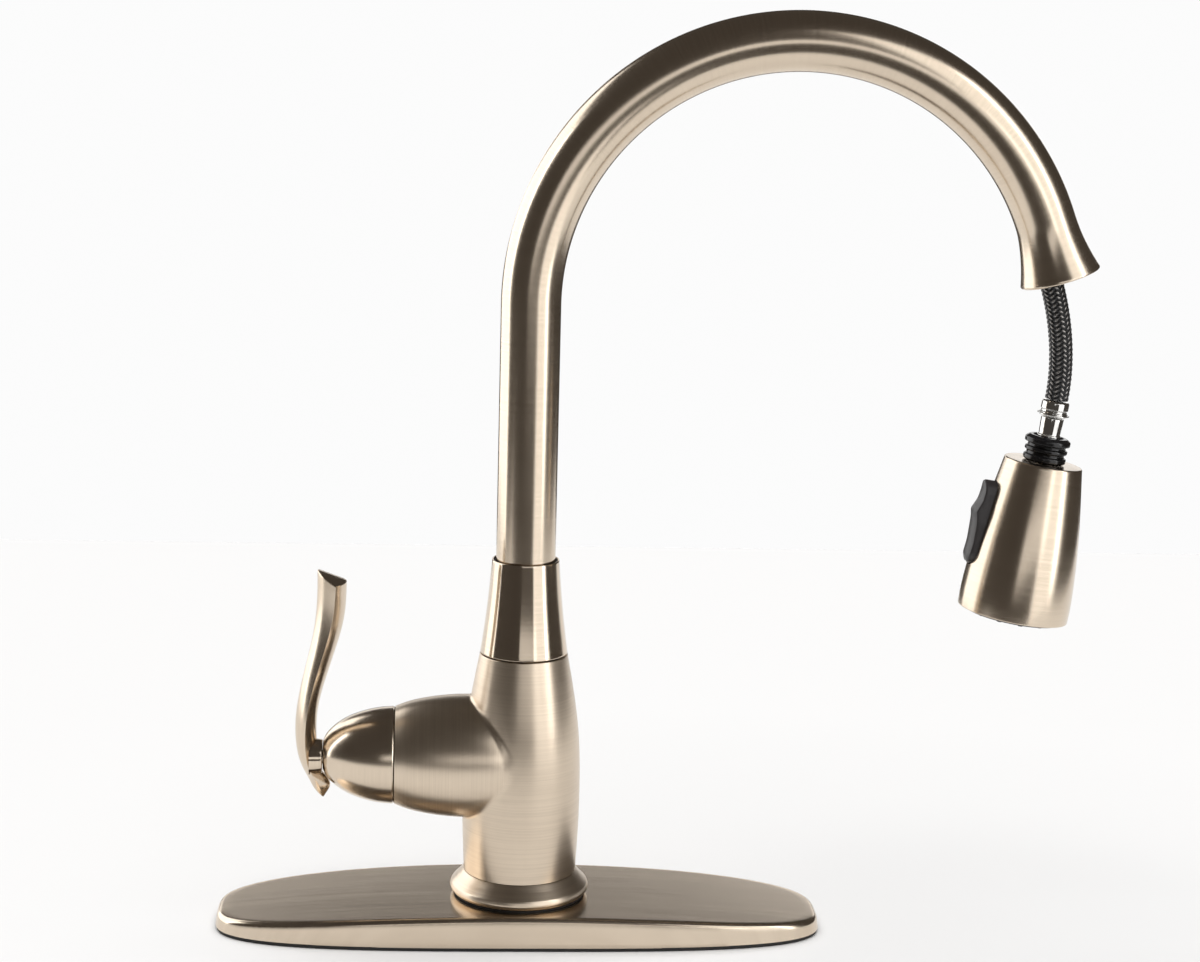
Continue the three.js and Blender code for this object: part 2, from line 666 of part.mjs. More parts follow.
function dockingCollar() {
  const outer = [[8.2, 0.3], [8.9, 1.4], [8.9, 3], [8.2, 3.4], [8.2, 4.4], [8.9, 4.8], [8.9, 6.2], [8.2, 6.6],
    [8.2, 7.6], [9.5, 8.2], [9.5, 10.4], [7.9, 11.4]];
  const inner = [[6.6, 11.4], [4.9, 9.6], [4.4, 8.2], [6.2, 6.5], [6.2, 2], [3, 0.3]];
  return turnedRing(outer, inner);
}

function hoseNipple() {
  const ball = [[0, -0.2], [2.4, 0.4], [4.6, 2.2], [5.6, 4.4], [4.9, 6.6], [3.9, 8.2]];
  return turned([...ball, [4.1, 10], [4.6, 12.4], [4.7, 16], [4.8, 19.2], [0, 19.2]], 16);
}

function addHead() {
  const head = new THREE.Group();
  head.position.copy(headTop);
  head.rotation.y = headTilt;
  faucet.add(head);
  addPiece('hose_ferrule', 'chrome', turned([[0, 19.5], [4.4, 19.5], [5.7, 20.1], [5.7, 25.9], [5.3, 26.5],
    [0, 26.5]], 16), head);
  addPiece('ferrule_clip', 'steel', new THREE.TorusGeometry(6.25, 0.4, 5, medium).translate(0, 0, 20.6), head);
  addPiece('hose_nipple', 'chrome', hoseNipple(), head);
  addPiece('docking_collar', 'blackPlastic', dockingCollar(), head);
  addPiece('head_shell', 'nickel', headShell(), head);
  addPiece('water_core', 'whitePlastic', waterCore(), head);
  addPiece('check_valve', 'whitePlastic', turned([[0, -14], [4.9, -14], [4.9, -5], [0, -5]], small), head);
  addPiece('diverter_spool', 'blackPlastic', rod(4.8, -38, -22, small), head);
  addPiece('button_bracket', 'blackPlastic', buttonBracket(), head);
  addPiece('button_pin', 'steel', rod(1, -7.2, 7.2, 8).rotateX(Math.PI / 2)
    .translate(buttonPinX, 0, buttonMiddle), head);
  addPiece('spray_button', 'blackPlastic', sprayButton(), head);
  addPiece('nozzle_mat', 'rubber', nozzleMat(), head);
  addPiece('spray_face', 'blackPlastic', sprayFace(), head);
  addPiece('aerator', 'steel', turned([[0, -65.6], [7.9, -65.6], [7.9, -58.4], [0, -58.4]], 16), head);
}

addColumn();
addCartridge();
addHandle();
addSpout();
addHose();
addHead();

export default faucet;
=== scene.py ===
import json
import math
import bpy
import bmesh
import numpy as np
from mathutils import Matrix, Vector


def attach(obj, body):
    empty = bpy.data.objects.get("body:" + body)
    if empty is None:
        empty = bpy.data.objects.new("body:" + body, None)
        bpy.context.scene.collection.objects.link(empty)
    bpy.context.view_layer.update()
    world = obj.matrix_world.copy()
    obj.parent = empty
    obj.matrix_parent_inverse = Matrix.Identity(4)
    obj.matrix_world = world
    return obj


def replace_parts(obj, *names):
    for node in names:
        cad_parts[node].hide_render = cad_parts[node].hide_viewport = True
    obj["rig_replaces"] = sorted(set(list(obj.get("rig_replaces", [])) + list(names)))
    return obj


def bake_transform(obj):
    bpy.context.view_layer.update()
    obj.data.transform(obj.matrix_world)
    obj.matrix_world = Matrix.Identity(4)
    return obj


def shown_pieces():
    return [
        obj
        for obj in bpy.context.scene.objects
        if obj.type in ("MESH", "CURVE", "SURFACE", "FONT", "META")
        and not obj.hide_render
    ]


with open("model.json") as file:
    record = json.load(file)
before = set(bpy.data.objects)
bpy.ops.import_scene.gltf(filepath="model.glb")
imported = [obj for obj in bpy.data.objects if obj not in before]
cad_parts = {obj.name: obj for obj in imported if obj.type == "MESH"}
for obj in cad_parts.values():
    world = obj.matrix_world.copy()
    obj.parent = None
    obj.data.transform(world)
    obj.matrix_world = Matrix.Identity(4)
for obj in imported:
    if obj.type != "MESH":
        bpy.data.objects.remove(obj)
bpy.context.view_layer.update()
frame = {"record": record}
record = frame["record"]
mm = 0.001  # lengths below are in millimetres and become metres when a mesh is made
tau = 2 * math.pi


# surfaces

def spline(points, count):
    # natural cubic through the points, by distance between them, read off at evenly spaced distances
    p = np.array(points, float)
    t = np.concatenate([[0], np.cumsum(np.linalg.norm(np.diff(p, axis=0), axis=1))])
    h = np.diff(t)
    n = len(p)
    system = np.eye(n)
    right = np.zeros_like(p)
    i = np.arange(1, n - 1)
    system[i, i - 1] = h[:-1]
    system[i, i] = 2 * (h[:-1] + h[1:])
    system[i, i + 1] = h[1:]
    right[i] = 6 * ((p[2:] - p[1:-1]) / h[1:, None] - (p[1:-1] - p[:-2]) / h[:-1, None])
    bend = np.linalg.solve(system, right)
    u = np.linspace(0, t[-1], count)
    k = np.clip(np.searchsorted(t, u, side="right") - 1, 0, n - 2)
    a = ((t[k + 1] - u) / h[k])[:, None]
    b = 1 - a
    step = (h[k] ** 2 / 6)[:, None]
    return a * p[k] + b * p[k + 1] + step * ((a ** 3 - a) * bend[k] + (b ** 3 - b) * bend[k + 1])


def rounded(corners, closed=False, steps=7):
    # polyline whose corners (x, y, radius) become arcs; radius 0 keeps the point
    pts = np.array([c[:2] for c in corners], float)
    n = len(pts)
    out = []
    for i, c in enumerate(corners):
        r = c[2] if len(c) > 2 else 0
        if r == 0 or (not closed and i in (0, n - 1)):
            out.append(pts[i][None])
            continue
        p, before, after = pts[i], pts[i - 1], pts[(i + 1) % n]
        a = (before - p) / np.linalg.norm(before - p)
        b = (after - p) / np.linalg.norm(after - p)
        half = math.acos(np.clip(a @ b, -1, 1)) / 2
        cut = min(r / math.tan(half), 0.49 * np.linalg.norm(before - p), 0.49 * np.linalg.norm(after - p))
        r = cut * math.tan(half)
        middle = p + (a + b) / np.linalg.norm(a + b) * r / math.sin(half)
        start, end = p + a * cut - middle, p + b * cut - middle
        sweep = math.atan2(start[0] * end[1] - start[1] * end[0], start @ end)
        angle = math.atan2(start[1], start[0]) + sweep * np.linspace(0, 1, steps)
        out.append(middle + r * np.stack([np.cos(angle), np.sin(angle)], 1))
    return np.concatenate(out)


def cornersOf(line, first, last):
    # a smooth line as a list of corners; only its two ends get a radius
    radii = [first] + [0] * (len(line) - 2) + [last]
    return [(x, y, r) for (x, y), r in zip(line, radii)]


def gridFaces(rows, columns, loopRows=False):
    # quads over a grid of numbered points; the last column joins the first, and so may the last row
    index = np.arange(rows * columns).reshape(rows, columns)
    if loopRows:
        index = np.vstack([index, index[:1]])
    index = np.hstack([index, index[:, :1]])
    return np.stack([index[:-1, :-1], index[:-1, 1:], index[1:, 1:], index[1:, :-1]], -1).reshape(-1, 4)


def meshObject(name, pointsInMm, faces):
    mesh = bpy.data.meshes.new(name)
    mesh.from_pydata((pointsInMm * mm).tolist(), [], faces.tolist())
    made = bpy.data.objects.new(name, mesh)
    bpy.context.collection.objects.link(made)
    return made


def vectorLayer(mesh, key, values):
    layer = mesh.attributes.get(key) or mesh.attributes.new(key, "FLOAT_VECTOR", "POINT")
    layer.data.foreach_set("vector", values.reshape(-1).astype(np.float32))


def surface(name, grid, loopRows=False, lay=None, braid=None, sharp=None):
    # skin over a grid of points (rows, columns, 3) in mm; its columns close up, and poles are merged
    rows, columns = grid.shape[:2]
    made = meshObject(name, grid.reshape(-1, 3), gridFaces(rows, columns, loopRows))
    layers = {"lay": lay, "braid": braid}
    for key, values in layers.items():
        if values is not None:
            vectorLayer(made.data, key, values)
    finishMesh(made, sharp)
    return made


def finishMesh(made, sharp=None):
    # merges doubled points, turns faces outwards, and smooths them up to an angle
    bm = bmesh.new()
    bm.from_mesh(made.data)
    bmesh.ops.remove_doubles(bm, verts=bm.verts, dist=2e-6)
    bmesh.ops.recalc_face_normals(bm, faces=bm.faces)
    bm.to_mesh(made.data)
    bm.free()
    made.data.shade_smooth()
    if sharp:
        made.data.set_sharp_from_angle(angle=math.radians(sharp))


def turn(profile, columns=160):
    # revolves a profile (radius, height): point = (r cos a, r sin a, h)
    a = np.arange(columns) / columns * tau
    r, h = profile[:, :1], profile[:, 1:]
    return np.stack([r * np.cos(a), r * np.sin(a), h + 0 * a], -1)


def alongX(points):
    # the turned axis becomes +X at the handle's height
    return np.stack([points[..., 2], points[..., 1], handle["height"] + points[..., 0]], -1)


def onHead(points):
    # local frame of the spray head, tilted about Y with its shell's top at the origin
    c, s = math.cos(head["tilt"]), math.sin(head["tilt"])
    x, y, z = points[..., 0], points[..., 1], points[..., 2]
    return np.stack([c * x + s * z, y, -s * x + c * z], -1) + head["top"]


def offHead(points):
    # the same frame's own coordinates of points on the head
    c, s = math.cos(head["tilt"]), math.sin(head["tilt"])
    x, y, z = (points - head["top"]).T
    return np.stack([c * x - s * z, y, s * x + c * z], 1)


def turnedPiece(name, profile, placed=None, columns=160, loop=True, sharp=None):
    flat = turn(np.asarray(profile, float), columns)
    return surface(name, placed(flat) if placed else flat, loopRows=loop, lay=flat * mm, sharp=sharp)


def fitted(made, body, slot, material, *nodes):
    made.data.materials.clear()
    made.data.materials.append(material)
    if nodes:
        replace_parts(made, *nodes)
    if body:
        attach(made, body)
    return made


# shader maths

class Signal:
    # a node's output that can be added, scaled and compared like a number
    def __init__(self, tree, socket):
        self.tree = tree
        self.socket = socket

    def node(self, kind, inputs=(), output=0, **settings):
        made = self.tree.nodes.new(kind)
        for key, value in settings.items():
            setattr(made, key, value)
        for key, value in dict(inputs).items():
            if isinstance(value, Signal):
                self.tree.links.new(value.socket, made.inputs[key])
            else:
                made.inputs[key].default_value = value
        return Signal(self.tree, made.outputs[output])

    def maths(self, operation, *others, swap=False, clamp=False):
        terms = [self, *others][::-1] if swap else [self, *others]
        return self.node("ShaderNodeMath", dict(enumerate(terms)), operation=operation, use_clamp=clamp)

    def __add__(self, other): return self.maths("ADD", other)
    def __radd__(self, other): return self.maths("ADD", other)
    def __sub__(self, other): return self.maths("SUBTRACT", other)
    def __rsub__(self, other): return self.maths("SUBTRACT", other, swap=True)
    def __mul__(self, other): return self.maths("MULTIPLY", other)
    def __rmul__(self, other): return self.maths("MULTIPLY", other)
    def __truediv__(self, other): return self.maths("DIVIDE", other)
    def __pow__(self, other): return self.maths("POWER", other)

    def scaled(self, by):
        return self.node("ShaderNodeVectorMath", {0: self, 1: by}, operation="MULTIPLY")

    def noise(self, scale, detail=3, roughness=0.5):
        inputs = {"Vector": self, "Scale": scale, "Detail": detail, "Roughness": roughness}
        return self.node("ShaderNodeTexNoise", inputs)

    def ramp(self, low, high, bottom=0.0, top=1.0):
        inputs = {0: self, 1: low, 2: high, 3: bottom, 4: top}
        return self.node("ShaderNodeMapRange", inputs, interpolation_type="SMOOTHSTEP")

    def tint(self, first, second):
        # from the first colour at 0 to the second at 1
        return self.node("ShaderNodeMix", {0: self, 6: first, 7: second}, output=2, data_type="RGBA")


def rgb(r, g, b):
    return (r, g, b, 1.0)


def startMaterial(name, **constants):
    made = bpy.data.materials.new(name)
    made.use_nodes = True
    tree = made.node_tree
    tree.nodes.clear()
    shader = tree.nodes.new("ShaderNodeBsdfPrincipled")
    output = tree.nodes.new("ShaderNodeOutputMaterial")
    tree.links.new(shader.outputs[0], output.inputs[0])
    for key, value in constants.items():
        shader.inputs[key.replace("_", " ")].default_value = value
    place = tree.nodes.new("ShaderNodeTexCoord")
    return made, tree, shader, Signal(tree, place.outputs["Object"])


def feed(shader, socket, signal):
    signal.tree.links.new(signal.socket, shader.inputs[socket])


def bump(shader, height, distance, strength=1.0):
    relief = height.node("ShaderNodeBump", {"Height": height, "Distance": distance, "Strength": strength})
    feed(shader, "Normal", relief)


def attribute(tree, name):
    made = tree.nodes.new("ShaderNodeAttribute")
    made.attribute_name = name
    return Signal(tree, made.outputs["Vector"])


def brushedNickel(name, grain=1.0, rough=0.2):
    # fine scratches run round the "lay" attribute's axis: slow in x and y, fast in z
    made, tree, shader, place = startMaterial(name, Metallic=1.0)
    lay = attribute(tree, "lay")
    fine = lay.scaled((60, 60, 9000)).noise(1.0, 4, 0.6)
    broad = lay.scaled((14, 14, 1500)).noise(1.0, 4, 0.6)
    patches = place.noise(28, 4, 0.6)
    smudge = place.noise(9, 2, 0.5)
    shade = (fine * 0.3 + broad * 0.45 + patches * 0.25).ramp(0.25, 0.75)
    feed(shader, "Base Color", shade.tint(rgb(0.61, 0.51, 0.40), rgb(0.75, 0.64, 0.51)))
    uneven = (fine - 0.5) * 0.12 * grain + (broad - 0.5) * 0.05 * grain + smudge.ramp(0.4, 0.7) * 0.03
    feed(shader, "Roughness", uneven + rough)
    bump(shader, fine * 0.75 + broad * 0.25, 0.00002 * grain, 0.3)
    return made


def chrome(name):
    made, _, shader, place = startMaterial(name, Metallic=1.0)
    haze = place.noise(90, 4, 0.6)
    feed(shader, "Base Color", haze.ramp(0.3, 0.7).tint(rgb(0.70, 0.69, 0.67), rgb(0.84, 0.83, 0.81)))
    feed(shader, "Roughness", haze.ramp(0.35, 0.75, 0.06, 0.16))
    bump(shader, place.noise(900, 2, 0.5), 0.00001, 0.3)
    return made


def machined(name, dark, light, rough, rings=3000):
    # lathe marks along every axis, as on a plain turned fitting
    made, _, shader, place = startMaterial(name, Metallic=1.0)
    marks = place.scaled((rings, rings, rings * 0.4)).noise(0.3, 3, 0.6)
    stain = place.noise(60, 4, 0.6)
    feed(shader, "Base Color", (marks * 0.3 + stain * 0.7).ramp(0.3, 0.7).tint(rgb(*dark), rgb(*light)))
    feed(shader, "Roughness", marks.ramp(0.2, 0.8, rough - 0.08, rough + 0.1))
    bump(shader, marks, 0.00004, 0.4)
    return made


def moulded(name, dark, light, rough, pebble=2600, relief=0.00004, **constants):
    # moulded plastic, rubber or ceramic: fine pebbled texture and slight unevenness
    made, _, shader, place = startMaterial(name, **constants)
    grain = place.noise(pebble, 3, 0.55)
    blotch = place.noise(70, 3, 0.6)
    feed(shader, "Base Color", (grain * 0.35 + blotch * 0.65).ramp(0.3, 0.7).tint(rgb(*dark), rgb(*light)))
    feed(shader, "Roughness", (grain * 0.5 + blotch * 0.5).ramp(0.25, 0.75, rough - 0.07, rough + 0.08))
    bump(shader, grain, relief, 0.5)
    return made


def braidYarn(name):
    # black nylon strands, whose highest points are painted light grey and metallic as a painted glint
    # "braid" holds (distance across the strand, distance along it, how high the strand stands)
    made, tree, shader, _ = startMaterial(name, Specular_IOR_Level=0.5)
    braid = attribute(tree, "braid")
    threads = braid.scaled((14, 0.9, 0)).noise(1.0, 2, 0.6)
    height = braid.node("ShaderNodeSeparateXYZ", {0: braid}, output=2)
    # painted glint: the crest of each strand is painted light grey and made metallic so it shines
    paintedGlint = height.ramp(0.82, 0.99)
    # painted shade: the yarn is darker where the strand stands low between others, and it also varies along
    # its threads
    yarnWithShade = (height.ramp(0.35, 0.95) * threads).tint(rgb(0.004, 0.004, 0.005), rgb(0.022, 0.022, 0.024))
    feed(shader, "Base Color", paintedGlint.tint(yarnWithShade, rgb(0.42, 0.40, 0.38)))
    feed(shader, "Metallic", paintedGlint * 0.7)
    feed(shader, "Roughness", height.ramp(0.5, 1, 0.5, 0.26) + (threads - 0.5) * 0.1)
    bump(shader, threads, 0.00007, 0.6)
    return made


nickel = brushedNickel("brushedNickel")
bodyNickel = brushedNickel("satinNickel", grain=0.6, rough=0.3)
collarNickel = brushedNickel("collarNickel", grain=0.5, rough=0.12)
polished = chrome("polishedChrome")
brass = machined("machinedBrass", (0.42, 0.30, 0.13), (0.66, 0.50, 0.25), 0.32)
steel = machined("turnedSteel", (0.36, 0.36, 0.36), (0.58, 0.58, 0.57), 0.28)
rubber = moulded("blackRubber", (0.010, 0.010, 0.010), (0.022, 0.021, 0.020), 0.62, 1800, 0.00006)
blackPlastic = moulded(
    "blackPlastic", (0.020, 0.017, 0.018), (0.038, 0.033, 0.034), 0.38, Specular_IOR_Level=0.6)
glossPlastic = moulded(
    "glossBlackPlastic", (0.008, 0.008, 0.009), (0.016, 0.015, 0.016), 0.17, 1500, 0.00001)
acetal = moulded("whiteAcetal", (0.62, 0.60, 0.55), (0.78, 0.76, 0.71), 0.4)
ceramic = moulded("lappedCeramic", (0.80, 0.78, 0.73), (0.88, 0.86, 0.82), 0.16, 3000, 0.00001)
braidBlack = braidYarn("braidedNylon")
print("materials ready")

# camera

camera = {
    "at": (-38.3, -1069.5, 404.9),
    "yaw": math.radians(3.68),
    "pitch": math.radians(-11.07),
    "roll": math.radians(1.51),
    "lens": 78.0,
}


def makeCamera():
    yaw, pitch, roll = camera["yaw"], camera["pitch"], camera["roll"]
    forward = Vector((math.sin(yaw) * math.cos(pitch), math.cos(yaw) * math.cos(pitch), math.sin(pitch)))
    side = forward.cross(Vector((0, 0, 1))).normalized()
    up = side.cross(forward)
    right = side * math.cos(roll) + up * math.sin(roll)
    top = up * math.cos(roll) - side * math.sin(roll)
    data = bpy.data.cameras.new("camera")
    data.lens = camera["lens"]
    data.sensor_width = 36
    data.clip_end = 100
    made = bpy.data.objects.new("camera", data)
    bpy.context.collection.objects.link(made)
    turnTo = Matrix((right, top, -forward)).transposed().to_4x4()
    made.matrix_world = Matrix.Translation(Vector(camera["at"]) * mm) @ turnTo
    bpy.context.scene.camera = made


makeCamera()

# shared sizes

handle = {"height": 75.0, "pivotX": -62.4, "seatRadius": 22.4}
spout = {
    "radius": 12.5, "bore": 11.3, "bottom": 124.3, "archHeight": 269.4, "archRadius": 110.1,
    "sweep": math.radians(161.7), "tip": 20.5, "flare": 25.0, "mouth": 17.1, "lip": 0.7,
}
head = {"top": np.array([218.5, 0, 206.2]), "tilt": math.radians(8.4)}
spout["archLength"] = spout["archRadius"] * spout["sweep"]
spout["length"] = spout["archHeight"] + spout["archLength"] + spout["tip"]


def bendAlongSpout(points):
    # straight shape up the Z axis, carried round the gooseneck: height becomes distance along it
    x, y, z = points[..., 0], points[..., 1], points[..., 2]
    past = np.maximum(z - spout["archHeight"], 0)
    angle = np.minimum(past / spout["archRadius"], spout["sweep"])
    straight = np.maximum(past - spout["archLength"], 0)
    reach = spout["archRadius"] - x
    low = np.minimum(z, spout["archHeight"])
    bentX = spout["archRadius"] - reach * np.cos(angle) + straight * np.sin(angle)
    bentZ = low + reach * np.sin(angle) + straight * np.cos(angle)
    return np.stack([bentX, y, bentZ], -1)


# hose

hose = {
    "radius": 5.0,      # over the braid
    "offset": 4.2,      # how far it hugs the inner side of the mouth
    "inside": 50.0,     # length of the free stretch inside the spout
    "ferruleTop": 27.1, # above the head's top
    "strands": 12,      # each way round
    "pitch": 2.05,       # along the hose, from strand to strand
    "relief": 0.9,
}
mouthTilt = math.pi - spout["sweep"]
mouthWay = np.array([math.sin(mouthTilt), 0, -math.cos(mouthTilt)])
mouthSide = np.array([math.cos(mouthTilt), 0, math.sin(mouthTilt)])
headUp = np.array([math.sin(head["tilt"]), 0, math.cos(head["tilt"])])
archEnd = np.array([
    spout["archRadius"] * (1 + math.cos(mouthTilt)), 0,
    spout["archHeight"] + spout["archRadius"] * math.sin(mouthTilt)])
mouthCentre = archEnd + mouthWay * spout["tip"]


def mouthPoint(inside):
    return mouthCentre - mouthSide * hose["offset"] - mouthWay * inside


def headPoint(up):
    return head["top"] + headUp * up


def bezier(a, b, c, d, count):
    t = np.linspace(0, 1, count)[:, None]
    return (1 - t) ** 3 * a + 3 * (1 - t) ** 2 * t * b + 3 * (1 - t) * t ** 2 * c + t ** 3 * d


def freeRoute():
    # straight down the mouth, then one even bend to the ferrule
    start, end = mouthPoint(0), headPoint(hose["ferruleTop"])
    pull = np.linalg.norm(end - start) / 3
    bend = bezier(start, start + mouthWay * pull, end + headUp * pull, end, 60)
    inside = np.linspace(mouthPoint(hose["inside"]), start, 30)[:-1]
    return np.concatenate([inside, bend])


def evenly(route, count, share=None):
    # points along a route, and the distance of each; share bends the spacing
    gaps = np.linalg.norm(np.diff(route, axis=0), axis=1)
    t = np.concatenate([[0], np.cumsum(gaps)])
    u = np.linspace(0, 1, count) if share is None else share
    return np.stack([np.interp(u * t[-1], t, route[:, k]) for k in range(3)], 1), u * t[-1]


def braidedTube(name, route, along, columns=144):
    # tube round a route in the XZ plane; its radius follows a two-over two-under braid:
    # strands lie at whole numbers of n a/2pi + s/p and n a/2pi - s/p, and change over at every second one
    way = np.gradient(route, axis=0)
    way /= np.linalg.norm(way, axis=1)[:, None]
    across = np.stack([way[:, 2], 0 * way[:, 0], -way[:, 0]], 1)
    a = np.arange(columns) / columns * tau
    s = along[:, None]
    first = hose["strands"] * a / tau + s / hose["pitch"]
    second = hose["strands"] * a / tau - s / hose["pitch"]
    overFirst = np.mod(np.floor(first) + np.floor(second), 4) < 2
    lean = np.where(overFirst, first, second)
    other = np.where(overFirst, second, first)
    off = lean - np.floor(lean) - 0.5
    strand = np.sqrt(np.clip(1 - (off / 0.53) ** 2, 0, 1))
    over = np.mod(np.floor(first) + np.floor(second), 2) + (other - np.floor(other))
    arch = np.sin(np.clip(over / 2, 0, 1) * math.pi) ** 0.5
    height = strand * (0.45 + 0.55 * arch)
    r = hose["radius"] - hose["relief"] * (1 - height)
    out = across[:, None] * np.cos(a)[None, :, None] + np.array([0, 1, 0]) * np.sin(a)[None, :, None]
    grid = route[:, None] + r[..., None] * out
    braid = np.stack([off * 1.5, other * 1.6, height], -1)
    startCap, endCap = (np.repeat(route[[k], None], columns, 1) for k in (0, -1))
    grid = np.concatenate([startCap, grid, endCap])
    braid = np.concatenate([braid[:1], braid, braid[-1:]])
    return surface(name, grid, braid=braid)


def makeHose():
    rows = 430
    line, along = evenly(freeRoute(), rows)
    free = braidedTube("free_hose", line, along)
    fitted(free, None, "braided_hose", braidBlack, "hose_free")
    tuple(line[-1] * mm)
    [tuple(p * mm) for p in line[::-1][:: max(1, rows // 40)]]
    top = mouthPoint(hose["inside"])
    tuple(top * mm)
    tuple(line[-1] * mm)
    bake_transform(free)
    upTop = spout["length"] - 72
    centre = bendAlongSpout(np.array([-1.0, 0, upTop]))
    route = spline([centre, mouthPoint(hose["inside"] + 8), mouthPoint(hose["inside"] + 0.3)], 60)
    # spaced for pulling out: each point is taken to move by a smooth-step share of the travel, so the braid's
    # spacing allows for that
    t = np.linspace(0, 1, rows)
    own = np.linalg.norm(route[-1] - route[0])
    travel = 100.0
    grown = own * t + travel * (3 * t ** 2 - 2 * t ** 3)
    share = np.interp(np.linspace(0, grown[-1], rows), grown, t)
    line, _ = evenly(route, rows, share)
    upper = braidedTube("upper_hose", line, np.linspace(0, grown[-1], rows))
    fitted(upper, None, "braided_hose", braidBlack, "hose_upper")
    tuple(route[0] * mm)
    tuple(route[-1] * mm)
    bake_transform(upper)


makeHose()
print("camera and hose ready")

# deck plate and base ring

plate = {
    "length": 260.0, "width": 72.0, "roundness": 3.3, "crown": 14.5, "archRadius": 1150.0, "wall": 1.8,
    "rim": 3.0,         # how far in from the foot the flat top ends
    "edge": 2.4, "edgeTurn": math.radians(76),
    "hole": 22.6, "gasket": 1.5, "columns": 320,
}


def plateOutline(inset, columns):
    # superellipse |x/a|^n + |y/b|^n = 1 walked at even steps, drawn in by inset
    angle = np.linspace(0, tau, 6001)
    power = 2 / plate["roundness"]
    unit = np.stack([np.sign(np.cos(angle)) * np.abs(np.cos(angle)) ** power,
                     np.sign(np.sin(angle)) * np.abs(np.sin(angle)) ** power], 1)
    half = np.array([plate["length"], plate["width"]]) / 2
    walked = np.concatenate([[0], np.cumsum(np.linalg.norm(np.diff(unit * half, axis=0), axis=1))])
    at = np.linspace(0, walked[-1], columns + 1)[:-1]
    unit = np.stack([np.interp(at, walked, unit[:, k]) for k in range(2)], 1)
    return unit * (half - inset)


def plateTop(x):
    return plate["crown"] - x ** 2 / (2 * plate["archRadius"])


def plateRing(inset, share):
    # share 0 is the hole's edge and 1 is the outline, along straight spokes
    edge = plateOutline(inset, plate["columns"])
    spoke = edge / np.linalg.norm(edge, axis=1)[:, None] * plate["hole"]
    return spoke + (edge - spoke) * share


def makePlate():
    wall, rim, edge, rows = plate["wall"], plate["rim"], plate["edge"], []
    for share in np.linspace(0, 1, 26) ** 0.8:
        flat = plateRing(rim, share)
        rows.append(np.column_stack([flat, plateTop(flat[:, 0])]))
    for turnBy in np.linspace(0, 1, 9)[1:] * plate["edgeTurn"]:
        flat = plateRing(rim - edge * math.sin(turnBy), 1)
        rows.append(np.column_stack([flat, plateTop(flat[:, 0]) - edge * (1 - math.cos(turnBy))]))
    sideTop = rows[-1][:, 2]
    lean = rim - edge * math.sin(plate["edgeTurn"])
    for share in (0.25, 0.5, 0.75, 0.96):
        flat = plateRing(lean * (1 - share), 1)
        rows.append(np.column_stack([flat, sideTop + (plate["gasket"] - sideTop) * share]))
    # underside: inset, share of the way out from the hole, share of the way up to the ceiling
    under = [(0.35, 1, 0), (wall, 1, 0), (wall, 1, 0.55),
             (wall + 2, 1, 1), (wall + 2, 0.5, 1), (wall, 0.02, 1)]
    for inset, share, lift in under:
        flat = plateRing(inset, share)
        ceiling = plateTop(flat[:, 0]) - wall
        rows.append(np.column_stack([flat, plate["gasket"] + (ceiling - plate["gasket"]) * lift]))
    grid = np.array(rows)
    lay = grid[..., [0, 2, 1]] * mm * np.array([0.4, 1, 0.3])
    made = surface("nickel_deck_plate", grid, loopRows=True, lay=lay, sharp=50)
    fitted(made, "base", "brushed_nickel", nickel, "deck_plate")
    rows = []
    section = [(1, 0, 0), (1, 0, 1), (0.9, 1, 1), (0.6, 1, 0.9), (0.6, 1, 0.1), (0.9, 1, 0)]
    for inset, share, height in section:
        flat = plateRing(inset, share)
        rows.append(np.column_stack([flat, 0 * flat[:, 0] + plate["gasket"] * height]))
    gasket = surface("rubber_deck_gasket", np.array(rows), loopRows=True, sharp=50)
    fitted(gasket, "base", "black_rubber", rubber, "deck_gasket")


makePlate()

ring = {
    # radius, height, corner radius
    "corners": [(22.2, 25.0, 0.2), (24.1, 25.0, 0.3), (26.3, 22.5, 1.6), (29.3, 19.4, 2.2),
                (29.9, 17.2, 1.8), (28.4, 15.4, 0.6), (22.2, 15.4, 0.2)],
}
baseRing = turnedPiece("nickel_base_ring", rounded(ring["corners"], closed=True, steps=9), sharp=45)
fitted(baseRing, "base", "brushed_nickel", bodyNickel, "base_ring")
print("deck plate ready")

# valve body

body = {
    # radius and height up the column, then radius and X along the side housing
    "column": [(24, 25.2), (24.8, 42), (25.1, 60), (24.7, 78),
               (23.7, 90), (22.3, 100), (20.6, 110), (18.6, 120.6)],
    "inside": [(14.9, 120.6, 0.3), (14.9, 92.5, 0), (21.3, 80, 0), (21.3, 30, 0),
               (19, 22, 0), (19, 2, 0), (21.9, 2, 0), (21.9, 25.2, 0)],
    "housing": [(20.8, -54.1), (22.4, -50), (23.8, -45), (25.1, -38), (26.2, -25),
                (25.8, -15), (24.3, -7), (21.8, 0), (12, 11), (0, 14)],
    "seatEdge": 20.55,
    "bore": 18.0,
    "boreEnd": -22.0,
    "fillet": 1.4,
    "columns": 240,
}


def fillDistance(line):
    # signed distance to a turned surface, near enough: (r - R(h)) times the cosine of the profile's slope
    r, h = line[:, 0], line[:, 1]
    slope = np.gradient(r, h)
    def distance(radius, along):
        return (radius - np.interp(along, h, r)) / np.sqrt(1 + np.interp(along, h, slope) ** 2)
    return distance


columnLine = spline(body["column"], 400)
housingLine = spline(body["housing"][:-1], 400)
fromColumn = fillDistance(columnLine)
fromHousing = fillDistance(housingLine)


def columnDistance(p):
    return fromColumn(np.hypot(p[:, 0], p[:, 1]), p[:, 2])


def housingDistance(p):
    return fromHousing(np.hypot(p[:, 1], p[:, 2] - handle["height"]), p[:, 0])


